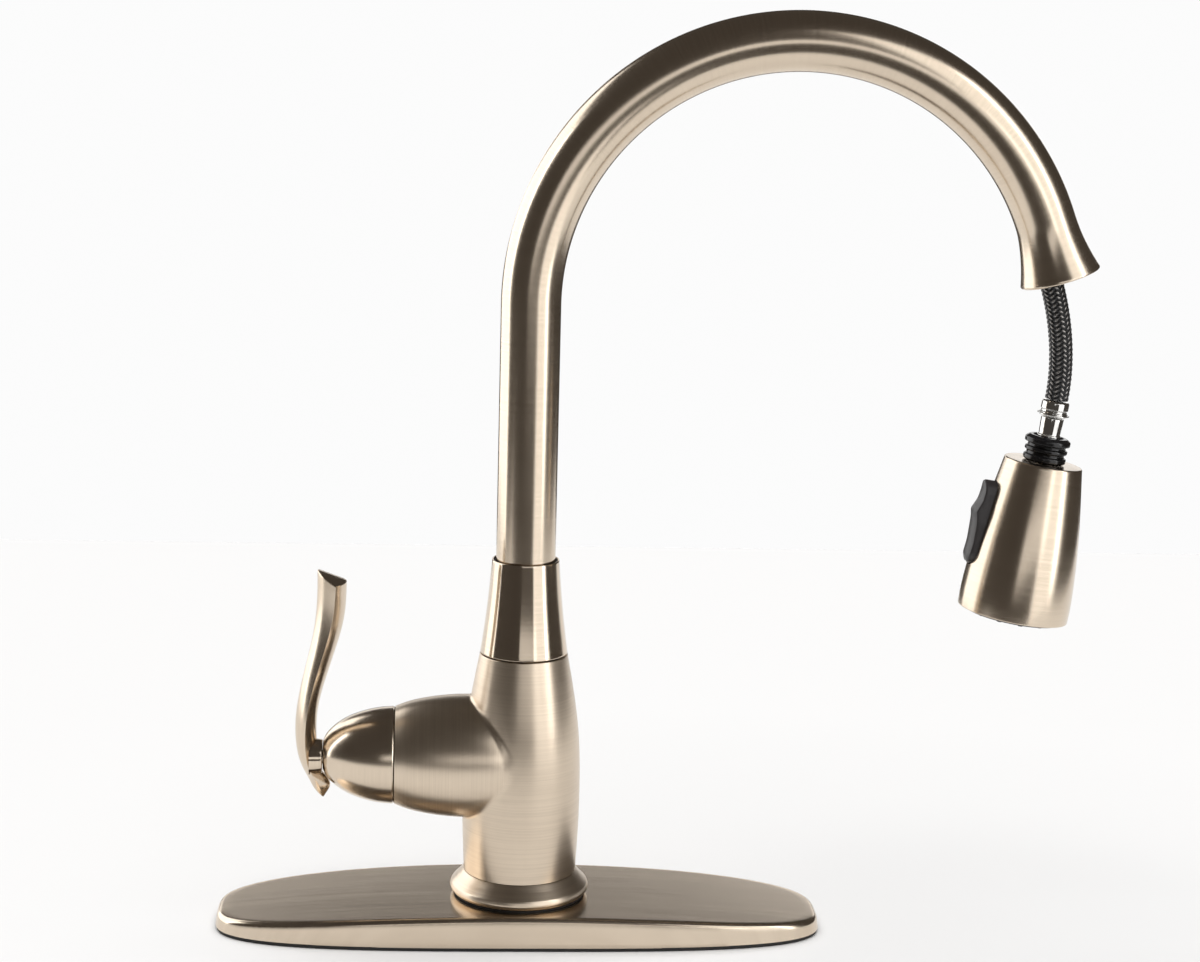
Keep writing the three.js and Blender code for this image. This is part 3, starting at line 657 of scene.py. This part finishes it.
def bodyField(p):
    # smooth minimum of both distances: min(a, b) - h^2 k/4, where h falls from 1 to 0 as |a - b| reaches k
    a = columnDistance(p)
    b = housingDistance(p) + 5 * np.maximum(p[:, 0], 0)
    k = body["fillet"]
    h = np.maximum(k - np.abs(a - b), 0) / k
    return np.minimum(a, b) - h * h * k / 4, a, b, h


def fieldSlope(p, step=0.02):
    moves = np.eye(3) * step
    g = np.stack([bodyField(p + m)[0] - bodyField(p - m)[0] for m in moves], 1) / (2 * step)
    return g


def points(mesh):
    flat = np.empty(len(mesh.vertices) * 3)
    mesh.vertices.foreach_get("co", flat)
    return flat.reshape(-1, 3) / mm


def combine(made, other, operation):
    step = made.modifiers.new("combine", "BOOLEAN")
    step.operation = operation
    step.solver = "EXACT"
    step.object = other
    bpy.context.view_layer.update()
    mesh = bpy.data.meshes.new_from_object(made.evaluated_get(bpy.context.evaluated_depsgraph_get()))
    made.modifiers.clear()
    made.data = mesh
    bpy.data.objects.remove(other)


def setNormals(mesh, chosen, normals):
    # replaces the shading normals of the chosen face corners
    count = len(mesh.loops)
    own = np.empty(count * 3)
    mesh.corner_normals.foreach_get("vector", own)
    own = own.reshape(-1, 3)
    own[chosen] = normals
    mesh.normals_split_custom_set(own.tolist())


def cornerData(mesh):
    # vertex of each face corner, and the normal of the face it belongs to
    vertex = np.empty(len(mesh.loops), np.int32)
    mesh.loops.foreach_get("vertex_index", vertex)
    totals = np.empty(len(mesh.polygons), np.int32)
    mesh.polygons.foreach_get("loop_total", totals)
    flat = np.empty(len(mesh.polygons) * 3)
    mesh.polygons.foreach_get("normal", flat)
    return vertex, np.repeat(flat.reshape(-1, 3), totals, axis=0)


def joinBody():
    # column and side housing in one closed skin, with the dome's round seat in the housing's end
    columns = body["columns"]
    outer = spline(body["column"], 180)
    rim = rounded(cornersOf(outer[-2:], 0, 0.5) + body["inside"][:2], steps=6)[1:-1]
    inner = np.array([c[:2] for c in body["inside"][1:]])
    column = np.concatenate([outer[:-1], rim, inner])
    made = surface("nickel_valve_body", turn(column, columns), loopRows=True)
    wrist = spline(body["housing"], 110)
    seatR = np.linspace(body["seatEdge"], body["bore"], 10)
    seat = np.stack([seatR, handle["pivotX"] + np.sqrt(handle["seatRadius"] ** 2 - seatR ** 2)], 1)
    cup = np.concatenate([wrist[::-1], seat, [[body["bore"], body["boreEnd"]], [0, body["boreEnd"]]]])
    other = surface("housing", alongX(turn(cup, columns)))
    combine(made, other, "UNION")
    return made


def roundFillet(mesh):
    # points near the joint step along the field's slope until they lie on its zero surface
    p = points(mesh)
    _, a, b, h = bodyField(p)
    near = (h > 0) & (np.minimum(a, b) > -0.25) & (a < 3) & (b < 3)
    q = p[near]
    for _ in range(6):
        value = bodyField(q)[0]
        g = fieldSlope(q)
        q = q - g * (value / np.maximum((g * g).sum(1), 1e-6))[:, None]
    p[near] = q
    mesh.vertices.foreach_set("co", (p * mm).reshape(-1))
    mesh.update()


def smoothBody(mesh):
    # the outer skin takes its shading normals from the field's slope
    mesh.shade_smooth()
    mesh.set_sharp_from_angle(angle=math.radians(40))
    vertex, faceNormal = cornerData(mesh)
    p = points(mesh)
    f, a, *_ = bodyField(p)
    skin = (np.abs(f) < 0.12) & (p[:, 2] > 26) & (p[:, 2] < 119.6) & ((a < 1) | (p[:, 0] > -53))
    g = fieldSlope(p)
    g /= np.maximum(np.linalg.norm(g, axis=1), 1e-9)[:, None]
    chosen = skin[vertex] & ((g[vertex] * faceNormal).sum(1) > 0.75)
    setNormals(mesh, chosen, g[vertex[chosen]])
    onHousing = housingDistance(p) < columnDistance(p)
    lay = np.where(onHousing[:, None], p[:, [1, 2, 0]], p)
    vectorLayer(mesh, "lay", lay * mm)


valveBody = joinBody()
roundFillet(valveBody.data)
smoothBody(valveBody.data)
fitted(valveBody, "base", "brushed_nickel", bodyNickel, "valve_body")
print("valve body ready")

# spout

collar = {"outer": [(18.55, 121.2), (16.8, 134), (15.1, 150), (14.15, 161.3)], "bore": 12.8, "seat": 13.6}


def makeCollar():
    outer = spline(collar["outer"], 60)
    inner = [(collar["seat"], 161.3, 0.25), (collar["seat"], 159.2, 0), (collar["bore"], 159.0, 0),
             (collar["bore"], 124.4, 0), (14.6, 124.2, 0), (14.6, 121.2, 0.2)]
    corners = cornersOf(outer, 0.3, 0.25) + inner
    made = turnedPiece("nickel_spout_collar", rounded(corners, closed=True), sharp=45)
    fitted(made, "spout", "brushed_nickel", collarNickel, "spout_collar")
    seal = [(12.6, 159.4, 0.2), (13.4, 159.4, 0.2), (13.4, 160.9, 0.4), (12.6, 160.9, 0.4)]
    made = turnedPiece("rubber_collar_ring", rounded(seal, closed=True))
    fitted(made, "spout", "black_rubber", rubber, "collar_o_ring")


def flare(distance, radius, swell):
    # grows by swell times the share of the flare's length to the power 1.8
    share = np.maximum(0, (distance - (spout["length"] - spout["flare"])) / spout["flare"])
    return radius + swell * share ** 1.8


def makeSpout():
    length, flareStart = spout["length"], spout["length"] - spout["flare"]
    swell = spout["mouth"] - spout["radius"]
    steps = 230
    lipStart = length - spout["lip"]
    out = np.concatenate([
        np.linspace(spout["bottom"], spout["archHeight"], 30)[:-1],
        np.linspace(spout["archHeight"], flareStart, steps)[:-1],
        np.linspace(flareStart, lipStart, 30)])
    back = np.linspace(lipStart, spout["bottom"], 140)
    outerR, innerR = flare(out, spout["radius"], swell), flare(back, spout["bore"], swell - 0.2)
    a = np.linspace(0, math.pi, 9)[1:-1]
    middle, half = (outerR[-1] + innerR[0]) / 2, (outerR[-1] - innerR[0]) / 2
    lip = np.stack([middle + half * np.cos(a), lipStart + spout["lip"] * np.sin(a)], 1)
    profile = np.concatenate([np.stack([outerR, out], 1), lip, np.stack([innerR, back], 1)])
    flat = turn(profile, 128)
    made = surface("nickel_spout_tube", bendAlongSpout(flat), loopRows=True, lay=flat * mm)
    fitted(made, "spout", "brushed_nickel", nickel, "spout_tube")
    top, low = length - 15, length - 1.2
    s = np.linspace(top, low, 24)
    outside = np.stack([flare(s, spout["bore"], swell - 0.2) - 0.3, s], 1)
    lead = rounded([(12.6, low, 0.6), (10.3, top + 1.5, 0.8), (10.3, top, 0.2)], steps=5)
    guide = np.concatenate([outside, [[13.4, low]], lead])
    made = surface("mouth_docking_guide", bendAlongSpout(turn(guide, 96)), loopRows=True, sharp=40)
    fitted(made, "spout", "black_plastic", blackPlastic, "docking_guide")


makeCollar()
makeSpout()
print("spout ready")

# handle

dome = {
    # radius and X, and a corner radius where there is a third value
    "outer": [(20.75, -55), (20.2, -61), (18.6, -68), (15.8, -75), (12.4, -80), (7.8, -84), (6.6, -84.6)],
    "inner": [(4.5, -84.6), (4.5, -80.4), (7, -79.4), (13.2, -74.4), (16.6, -67.4), (18.3, -60), (18.6, -55)],
    "neck": [(0, -80.3, 0), (3, -80.3, 0), (3, -84.9, 0), (7.5, -84.9, 0.5),
             (7.7, -86.3, 0), (7.9, -88, 0), (8.1, -90.4, 0), (0, -90.4, 0)],
    "neckDrop": 1.2,    # the neck's axis lies a little below the handle's
    "plug": (-72.0, 0, 58.4),   # the screw plug's lowest point
    "skirt": 21.9,      # round skirt behind the rim that closes the seam
}


def makeDome():
    outer = spline(dome["outer"], 70)
    corners = cornersOf(outer, 0.35, 0.3) + [(r, x, 0.2) for r, x in dome["inner"]]
    skirt, thick, sweep = dome["skirt"], 0.9, np.radians([51, 57, 63, 69])
    for radius, angles in ((skirt - thick, sweep[::-1]), (skirt, sweep)):
        corners += [(radius * math.sin(a), handle["pivotX"] + radius * math.cos(a), 0) for a in angles]
    made = turnedPiece("nickel_handle_dome", rounded(corners, closed=True), alongX, sharp=45)
    fitted(made, "handle", "brushed_nickel", nickel, "handle_dome")
    neck = rounded(dome["neck"])
    drop = np.array([0, 0, dome["neckDrop"]])
    made = turnedPiece("nickel_handle_neck", neck, lambda p: alongX(p) - drop, loop=False, sharp=45)
    fitted(made, "handle", "brushed_nickel", collarNickel, "handle_neck")
    plug = rounded([(0, 0, 0), (1.5, 0, 0.4), (2.35, 0.7, 0.3), (2.35, 2.8, 0), (0, 2.8, 0)])
    made = turnedPiece("black_screw_plug", plug, lambda p: p + np.array(dome["plug"]), 32, loop=False)
    fitted(made, "handle", "black_plastic", blackPlastic, "screw_plug")


lever = {
    # height, outer face, inner face, half width, share of the way inwards where the side ridges lie
    "stations": [
        (56.4, -85.2, -84.2, 0.4, 0.45), (58.2, -87, -83, 1.8, 0.45), (62, -89.5, -81.5, 3.9, 0.45),
        (65, -91, -82.9, 5.1, 0.44), (68, -92.6, -85.2, 6.2, 0.44), (73, -94.7, -86.5, 7.2, 0.45),
        (80, -96.1, -87.2, 8, 0.48), (90, -96.4, -87.4, 8.1, 0.53),
        (100, -95.2, -86, 7.9, 0.56), (110, -93.2, -83.2, 7.8, 0.56), (120, -90.8, -80.1, 7.9, 0.57),
        (130, -88.8, -77.2, 8.2, 0.59), (140, -87.7, -75.5, 8.6, 0.62), (148, -87.4, -75.1, 9, 0.65)],
    "edge": 0.06,       # how round the side ridges are
    "roof": 5.5,
    "roofSlope": 0.36,  # falls towards the column
    "roofFall": 2.2,    # falls towards both sides
    "lip": 0.5,
    "tail": (-84.5, 0, 56.0),
    "face": 13,         # from the outer face's middle round to the inner face's
}


def leverSection(outer, inner, half, share, columns=120):
    # lens of two curves, bold outside and shallow inside:
    # x = ridge + k cos(a) sqrt(cos(a)^2 + e^2), y = half sin(a)
    a = np.arange(columns) / columns * tau
    c = np.cos(a)
    ridge = outer + (inner - outer) * share
    e = lever["edge"]
    swell = np.abs(c) * np.sqrt(c * c + e * e) / math.sqrt(1 + e * e)
    x = ridge + np.where(c > 0, inner - ridge, outer - ridge) * swell
    return x, half * np.sin(a)


def makeLever():
    s = spline(lever["stations"], 130)
    top = s[-1, 0]
    cells = [leverSection(o, i, max(w, 0.2), share) for _, o, i, w, share in s]
    x, y = np.array([c[0] for c in cells]), np.array([c[1] for c in cells])
    z = np.repeat(s[:, :1], x.shape[1], 1)
    endX, endY = x[-1], y[-1]
    half = s[-1, 3]
    middle = (s[-1, 1] + s[-1, 2]) / 2
    def roof(x, across):
        # straight slope less a fall that grows with the distance across to the power 1.5
        slope = lever["roofSlope"] * (x - middle)
        return top + lever["roof"] - slope - lever["roofFall"] * np.abs(across / half) ** 1.5
    rise = roof(endX, endY) - lever["lip"]
    rows = [np.stack([x, y, z], -1)]
    share = np.linspace(0, 1, 8)[1:, None]
    rows.append(np.stack([endX + 0 * share, endY + 0 * share, top + (rise - top) * share], -1))
    turnBy = np.linspace(0, math.pi / 2, 6)[1:, None]
    shrink = 1 - lever["lip"] * (1 - np.cos(turnBy)) / half
    lipX, lipZ = middle + (endX - middle) * shrink, rise + lever["lip"] * np.sin(turnBy)
    rows.append(np.stack([lipX, endY * shrink, lipZ], -1))
    w = np.linspace(1, 0, 16)[1:, None] * shrink[-1]
    capX, capY = middle + (endX - middle) * w, endY * w
    rows.append(np.stack([capX, capY, roof(capX, capY)], -1))
    grid = np.concatenate(rows)
    tail = np.repeat(np.array([[lever["tail"]]]), grid.shape[1], 1)
    grid = np.concatenate([tail, grid])
    # scratches run lengthways: the fast direction is the distance round from the middle of a face
    aroundSection = np.abs(np.arange(grid.shape[1]) / grid.shape[1] * 2 - 1) * lever["face"]
    lay = np.stack([0 * grid[..., 0], grid[..., 2], aroundSection + 0 * grid[..., 0]], -1) * mm
    made = surface("nickel_handle_lever", grid, lay=lay)
    fitted(made, "handle", "brushed_nickel", nickel, "handle_lever")


makeDome()
makeLever()
print("handle ready")

# spray head

shell = {
    # radius and height below the head's top
    "outer": [(23.55, -66.4), (23.65, -62), (23.4, -54), (22.4, -41), (20.9, -28), (18.8, -14), (16.6, -0.8)],
    "top": [(16.5, 0, 0.7), (7.6, 0, 0.3), (7.6, -2.2, 0), (14.4, -2.2, 0)],
    "wall": 2.0,
    "buttonTop": -11.3, "buttonBottom": -48.2, "buttonHalf": 6.2, "gap": 0.4,
    "buttonTaper": 0.16,    # the upper end is this much narrower
}
shell["buttonMiddle"] = (shell["buttonTop"] + shell["buttonBottom"]) / 2
shell["buttonReach"] = (shell["buttonTop"] - shell["buttonBottom"]) / 2


def slotLoop(margin, columns=96):
    # long outline with round ends: y across, z along the head, walked evenly; its upper end is narrower
    half = shell["buttonHalf"] + margin
    reach = shell["buttonReach"] - shell["buttonHalf"]
    a = np.linspace(0, tau, 721)
    loop = np.stack([half * np.cos(a), half * np.sin(a) + np.sign(np.sin(a)) * reach], 1)
    walked = np.concatenate([[0], np.cumsum(np.linalg.norm(np.diff(loop, axis=0), axis=1))])
    at = np.arange(columns) / columns * walked[-1]
    loop = np.stack([np.interp(at, walked, loop[:, k]) for k in range(2)], 1)
    loop[:, 0] *= 1 - shell["buttonTaper"] * np.clip(loop[:, 1] / reach, 0, 1)
    return loop


def makeShell():
    outer = spline(shell["outer"], 110)
    corners = cornersOf(outer[:-1], 0.45, 0) + shell["top"]
    corners += [(r - shell["wall"], z, 0) for r, z in outer[6:-8:6][::-1]] + [(21.5, -66.4, 0.3)]
    profile = rounded(corners, closed=True, steps=8)
    made = surface("nickel_head_shell", onHead(turn(profile, 192)), loopRows=True)
    loop, middle = slotLoop(shell["gap"]), shell["buttonMiddle"]
    def ringAt(x, size):
        return np.column_stack([0 * loop[:, 0] + x, loop[:, 0] * size, loop[:, 1] * size + middle])
    cutter = np.array([ringAt(-14, 0), ringAt(-14, 1), ringAt(-32, 1), ringAt(-32, 0)])
    combine(made, surface("slot", onHead(cutter)), "DIFFERENCE")
    smoothShell(made.data, outer)
    fitted(made, "spray_head", "brushed_nickel", nickel, "head_shell")


def smoothShell(mesh, outer):
    # the outer skin's normals come from its profile, so the cut for the button leaves no mark on it
    mesh.shade_smooth()
    mesh.set_sharp_from_angle(angle=math.radians(35))
    local = offHead(points(mesh))
    radius = np.hypot(local[:, 0], local[:, 1])
    slope = np.interp(local[:, 2], outer[:, 1], np.gradient(outer[:, 0], outer[:, 1]))
    normal = np.stack([local[:, 0] / radius, local[:, 1] / radius, -slope], 1)
    normal = onHead(normal / np.linalg.norm(normal, axis=1)[:, None]) - head["top"]
    vertex, faceNormal = cornerData(mesh)
    offSkin = np.abs(radius - np.interp(local[:, 2], outer[:, 1], outer[:, 0]))
    skin = (offSkin < 0.06) & (local[:, 2] > -65.4) & (local[:, 2] < -1.6)
    chosen = skin[vertex] & ((normal[vertex] * faceNormal).sum(1) > 0.8)
    setNormals(mesh, chosen, normal[vertex[chosen]])
    vectorLayer(mesh, "lay", local * mm)


button = {
    # outer face seen from the side: (x, z, corner radius), a raised point above a long lower lobe
    "face": [(-22.6, -48.3, 0), (-25.1, -47.2, 1.5), (-26, -44.0, 4), (-25.5, -38.5, 6),
             (-25.6, -31.5, 6), (-25.9, -27.6, 3), (-26.4, -24.8, 1.2), (-24.4, -20.2, 4),
             (-23.8, -16.4, 4), (-23.6, -12.4, 0.8), (-22.8, -11.2, 0)],
    "crown": 1.7,
    "edge": 0.45,
    "root": -17.2,      # its back, clear of the bracket as it rocks
}


def makeButton():
    # rows run up the side wall, then over a rounded edge towards the middle
    # x = face(z) + crown (y/half)^2 + the edge's fall
    middle = shell["buttonMiddle"]
    loop = slotLoop(-0.05, 120)
    face = rounded(button["face"])
    def outward(y, z, fall):
        base = np.interp(z, face[:, 1], face[:, 0])
        return base + button["crown"] * (y / shell["buttonHalf"]) ** 2 + fall
    rows = []
    fullZ = loop[:, 1] + middle
    edgeX = outward(loop[:, 0], fullZ, button["edge"])
    for share in np.linspace(0, 1, 6):
        rows.append(np.column_stack([button["root"] + (edgeX - button["root"]) * share, loop[:, 0], fullZ]))
    for a in np.linspace(0, math.pi / 2, 8)[1:]:
        drawnIn = button["edge"] * (1 - math.cos(a))
        y = loop[:, 0] * (1 - drawnIn / shell["buttonHalf"])
        z = loop[:, 1] * (1 - drawnIn / shell["buttonReach"]) + middle
        rows.append(np.column_stack([outward(y, z, button["edge"] * (1 - math.sin(a))), y, z]))
    lastY, lastZ = rows[-1][:, 1], rows[-1][:, 2] - middle
    for share in np.linspace(1, 0, 14)[1:]:
        y, z = lastY * share, lastZ * share + middle
        rows.append(np.column_stack([outward(y, z, 0), y, z]))
    root = rows[0].copy()
    root[:, 1], root[:, 2] = 0, middle
    grid = np.array([root] + rows)
    made = surface("rocker_button", onHead(grid))
    fitted(made, "rocker", "black_plastic", blackPlastic, "spray_button")


def repeated(name, grid, places):
    # the same small grid moved to many places (x, y) on the head, in one mesh
    rows, columns = grid.shape[:2]
    spots = np.column_stack([places, np.zeros(len(places))])
    allPoints = onHead((grid[None] + spots[:, None, None]).reshape(-1, 3))
    firstPoints = np.arange(len(places)) * rows * columns
    faces = (gridFaces(rows, columns)[None] + firstPoints[:, None, None]).reshape(-1, 4)
    made = meshObject(name, allPoints, faces)
    finishMesh(made)
    return made


sprayFace = {
    "rings": [(12, 17.2), (7, 12.2)],    # how many nozzles, and on what radius
    "tip": -68.2,
    "nozzleRadius": 1.1,
    "plate": [(8.4, -62.6, 0), (8.4, -66.1, 0.4), (9.9, -66.1, 0.4), (10.3, -65.3, 0.4), (14.1, -65.3, 0.4),
              (14.5, -65.8, 0.3), (14.8, -65.8, 0.3), (15.2, -65.3, 0.4), (19.0, -65.3, 0.4),
              (19.3, -66.7, 0.5), (20.3, -67.5, 0.4), (21.0, -67.1, 0.3), (20.8, -62.6, 0.2)],
    "aerator": [(0, -64.4, 0), (5.9, -64.4, 0.2), (6.3, -65.5, 0.4), (7.8, -65.5, 0.4),
                (7.8, -58.5, 0), (0, -58.5, 0)],
}


def makeFace():
    places = []
    for count, radius in sprayFace["rings"]:
        a = np.arange(count) / count * tau
        places.append(np.stack([radius * np.cos(a), radius * np.sin(a)], 1))
    r, tip = sprayFace["nozzleRadius"], sprayFace["tip"]
    nub = rounded([
        (0, tip + 0.5, 0), (0.4, tip + 0.45, 0), (0.5, tip, 0.12), (r, tip, 0.2),
        (r + 0.15, -65.4, 0), (r + 0.7, -65.2, 0), (0, -64.6, 0)], steps=4)
    tips = repeated("rubber_nozzles", turn(nub, 20), np.concatenate(places))
    fitted(tips, "spray_head", "black_rubber", rubber, "nozzle_mat")
    made = turnedPiece("spray_face_plate", rounded(sprayFace["plate"], closed=True), onHead, sharp=45)
    fitted(made, "spray_head", "black_plastic", blackPlastic, "spray_face")
    made = turnedPiece("steel_aerator", rounded(sprayFace["aerator"]), onHead, 96, loop=False, sharp=45)
    fitted(made, "spray_head", "steel", screen, "aerator")


def meshScreen(name):
    # woven wire screen: crossing sine ridges 0.7 mm apart, with painted shade in the gaps between them
    made, _, shader, place = startMaterial(name, Metallic=1.0)
    parts = [place.node("ShaderNodeSeparateXYZ", {0: place}, output=k) for k in range(2)]
    ridges = [(part * (tau / 0.0007)).maths("SINE") for part in parts]
    wires = (ridges[0].maths("MAXIMUM", ridges[1]) * 0.5 + 0.5)
    # the gaps between the wires are painted near black, as painted shade in the screen's openings
    feed(shader, "Base Color", wires.ramp(0.3, 0.9).tint(rgb(0.05, 0.05, 0.05), rgb(0.55, 0.54, 0.52)))
    feed(shader, "Roughness", wires.ramp(0.2, 0.8, 0.5, 0.25) + place.noise(800, 2) * 0.08)
    bump(shader, wires, 0.0002, 0.7)
    return made


screen = meshScreen("wireScreen")

neckPieces = {
    # radius, height above the head's top, corner radius
    "collar": [(8.2, 0.3, 0.2), (9.0, 0.9, 0.4), (9.0, 2.7, 0.5), (8.0, 3.1, 0.3), (8.0, 4.3, 0.3),
               (9.0, 4.7, 0.5), (9.0, 6.1, 0.5), (8.0, 6.5, 0.3), (8.0, 7.6, 0.3), (9.6, 8.1, 0.5),
               (9.6, 10.0, 0.9), (8.0, 11.2, 0.7), (6.6, 11.2, 0.6), (4.9, 9.6, 0.5), (4.4, 8.2, 0.5),
               (6.2, 6.5, 0.4), (6.2, 2, 0), (3, 0.3, 0)],
    "ball": [(0, -0.2), (2.4, 0.4), (4.6, 2.2), (5.6, 4.4), (4.9, 6.6), (3.9, 8.2)],
    "stem": [(3.9, 8.2, 0), (4.1, 10.2, 0), (5.1, 10.6, 0.3), (5.1, 11.7, 0.3),
             (4.5, 12.1, 0.4), (4.7, 16, 3), (4.8, 19.25, 0.2), (0, 19.25, 0)],
    "ferrule": [(0, 19.5, 0), (4.5, 19.5, 0.2), (5.75, 20.0, 0.3), (5.75, 21.4, 0.3), (5.4, 21.8, 0.3),
                (5.4, 22.6, 0.3), (5.75, 23.0, 0.3), (5.75, 25.9, 0.4), (5.2, 26.6, 0.3), (0, 26.6, 0)],
    "clipRadius": 6.25, "clipWire": 0.42, "clipHeight": 20.6,
}


def makeNeck():
    made = turnedPiece("docking_collar_ribs", rounded(neckPieces["collar"], closed=True), onHead)
    fitted(made, "spray_head", "black_plastic", glossPlastic, "docking_collar")
    nipple = np.concatenate([spline(neckPieces["ball"], 40)[:-1], rounded(neckPieces["stem"])])
    made = turnedPiece("chrome_nipple", nipple, onHead, 96, loop=False, sharp=50)
    fitted(made, "hose_end", "polished_chrome", polished, "hose_nipple")
    made = turnedPiece("chrome_ferrule", rounded(neckPieces["ferrule"]), onHead, 96, loop=False, sharp=60)
    fitted(made, "hose_end", "polished_chrome", polished, "hose_ferrule")
    # wire ring with overlapping ends: radius and height drift along one turn and a bit
    t = np.linspace(0, 1, 140)
    a = math.radians(200) + t * math.radians(352)
    r = neckPieces["clipRadius"] + 0.9 * np.clip((t - 0.93) / 0.07, 0, 1) ** 2
    line = np.stack([r * np.cos(a), r * np.sin(a), neckPieces["clipHeight"] + 0.5 * t], 1)
    way = np.gradient(line, axis=0)
    way /= np.linalg.norm(way, axis=1)[:, None]
    out = np.stack([np.cos(a), np.sin(a), 0 * a], 1)
    up = np.cross(way, out)
    sides = 12
    b = (np.arange(sides) / sides * tau)[None, :, None]
    wire = line[:, None] + neckPieces["clipWire"] * (out[:, None] * np.cos(b) + up[:, None] * np.sin(b))
    startCap, endCap = (np.repeat(line[[k], None], sides, 1) for k in (0, -1))
    made = surface("wire_clip", onHead(np.concatenate([startCap, wire, endCap])))
    fitted(made, "hose_end", "polished_chrome", polished, "ferrule_clip")


makeShell()
makeButton()
makeFace()
makeNeck()
print("spray head ready")

# CAD nodes that stay

kept = {
    "brushed_nickel": nickel, "polished_chrome": polished, "brass": brass, "steel": steel,
    "black_rubber": rubber, "black_plastic": blackPlastic, "white_plastic": acetal, "ceramic": ceramic,
    "braided_hose": moulded("hoseSleeve", (0.010, 0.010, 0.011), (0.035, 0.035, 0.038), 0.4, 700, 0.0003),
}
replacedNodes = {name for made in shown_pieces() for name in made.get("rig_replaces", [])}
for part in record["subparts"]:
    node = bpy.data.objects.get(part["node"])
    if node and part["node"] not in replacedNodes:
        node.data.materials.clear()
        node.data.materials.append(kept[part["material_slot"]])

# studio

studio = {
    "floor": (-0.75, -0.42, 0.8, 0.75),     # a table top: lowest x and y, highest x and y
    "floorTone": 0.84,
    "world": (0.066, 0.058, 0.051),
    "overhead": 3.45,    # even light from straight above, for the floor and the dull pieces only
    # name, azimuth, elevation, distance, width, height, power
    # seen from the object, azimuth 0 is towards the camera and + is to its right
    "lights": [
        ("right_softbox", 46, 12, 1.7, 1.5, 2.4, 15),
        ("right_glint", 60, 16, 1.6, 0.16, 1.6, 3),
        ("left_strip", -121, 14, 1.6, 1.75, 1.8, 19),
        ("left_glint", -92, 14, 1.5, 0.16, 1.6, 2),
        ("front_fill", 8, 5, 2.0, 1.7, 0.45, 2.4),
        ("backdrop", 180, 7, 2.2, 2.6, 0.5, 5),
    ],
}


def makeStudio():
    x0, y0, x1, y1 = studio["floor"]
    mesh = bpy.data.meshes.new("floor")
    mesh.from_pydata([(x0, y0, 0), (x1, y0, 0), (x1, y1, 0), (x0, y1, 0)], [], [(0, 1, 2, 3)])
    floor = bpy.data.objects.new("floor", mesh)
    bpy.context.collection.objects.link(floor)
    made, _, shader, _ = startMaterial("paleFloor", Roughness=0.6)
    tone = studio["floorTone"]
    shader.inputs["Base Color"].default_value = rgb(tone, tone, tone)
    shader.inputs["Specular IOR Level"].default_value = 0
    floor.data.materials.append(made)
    aim = Vector((0.05, 0, 0.18))
    for name, azimuth, elevation, distance, width, height, power in studio["lights"]:
        a, e = math.radians(azimuth), math.radians(elevation)
        way = Vector((math.sin(a) * math.cos(e), -math.cos(a) * math.cos(e), math.sin(e)))
        data = bpy.data.lights.new(name, "AREA")
        data.shape = "RECTANGLE"
        data.size, data.size_y, data.energy = width, height, power
        lamp = bpy.data.objects.new(name, data)
        bpy.context.collection.objects.link(lamp)
        lamp.location = aim + way * distance
        lamp.rotation_euler = way.to_track_quat("Z", "Y").to_euler()
        lamp.visible_camera = False
        lamp.visible_diffuse = False
    sun = bpy.data.objects.new("overhead", bpy.data.lights.new("overhead", "SUN"))
    sun.data.energy = studio["overhead"]
    sun.data.angle = math.radians(80)
    sun.visible_glossy = False
    bpy.context.collection.objects.link(sun)
    bpy.context.scene.view_settings.view_transform = "Standard"
    world = bpy.data.worlds.new("studio")
    bpy.context.scene.world = world
    world.use_nodes = True
    tree = world.node_tree
    tree.nodes.clear()
    path = tree.nodes.new("ShaderNodeLightPath")
    seen = Signal(tree, path.outputs["Is Camera Ray"])
    pale = tone * (studio["overhead"] / math.pi + studio["world"][1])    # as bright as the floor
    sky = seen.tint(rgb(*studio["world"]), rgb(pale, pale, pale))
    background = tree.nodes.new("ShaderNodeBackground")
    output = tree.nodes.new("ShaderNodeOutputWorld")
    tree.links.new(sky.socket, background.inputs[0])
    tree.links.new(background.outputs[0], output.inputs[0])


makeStudio()
print("studio ready")
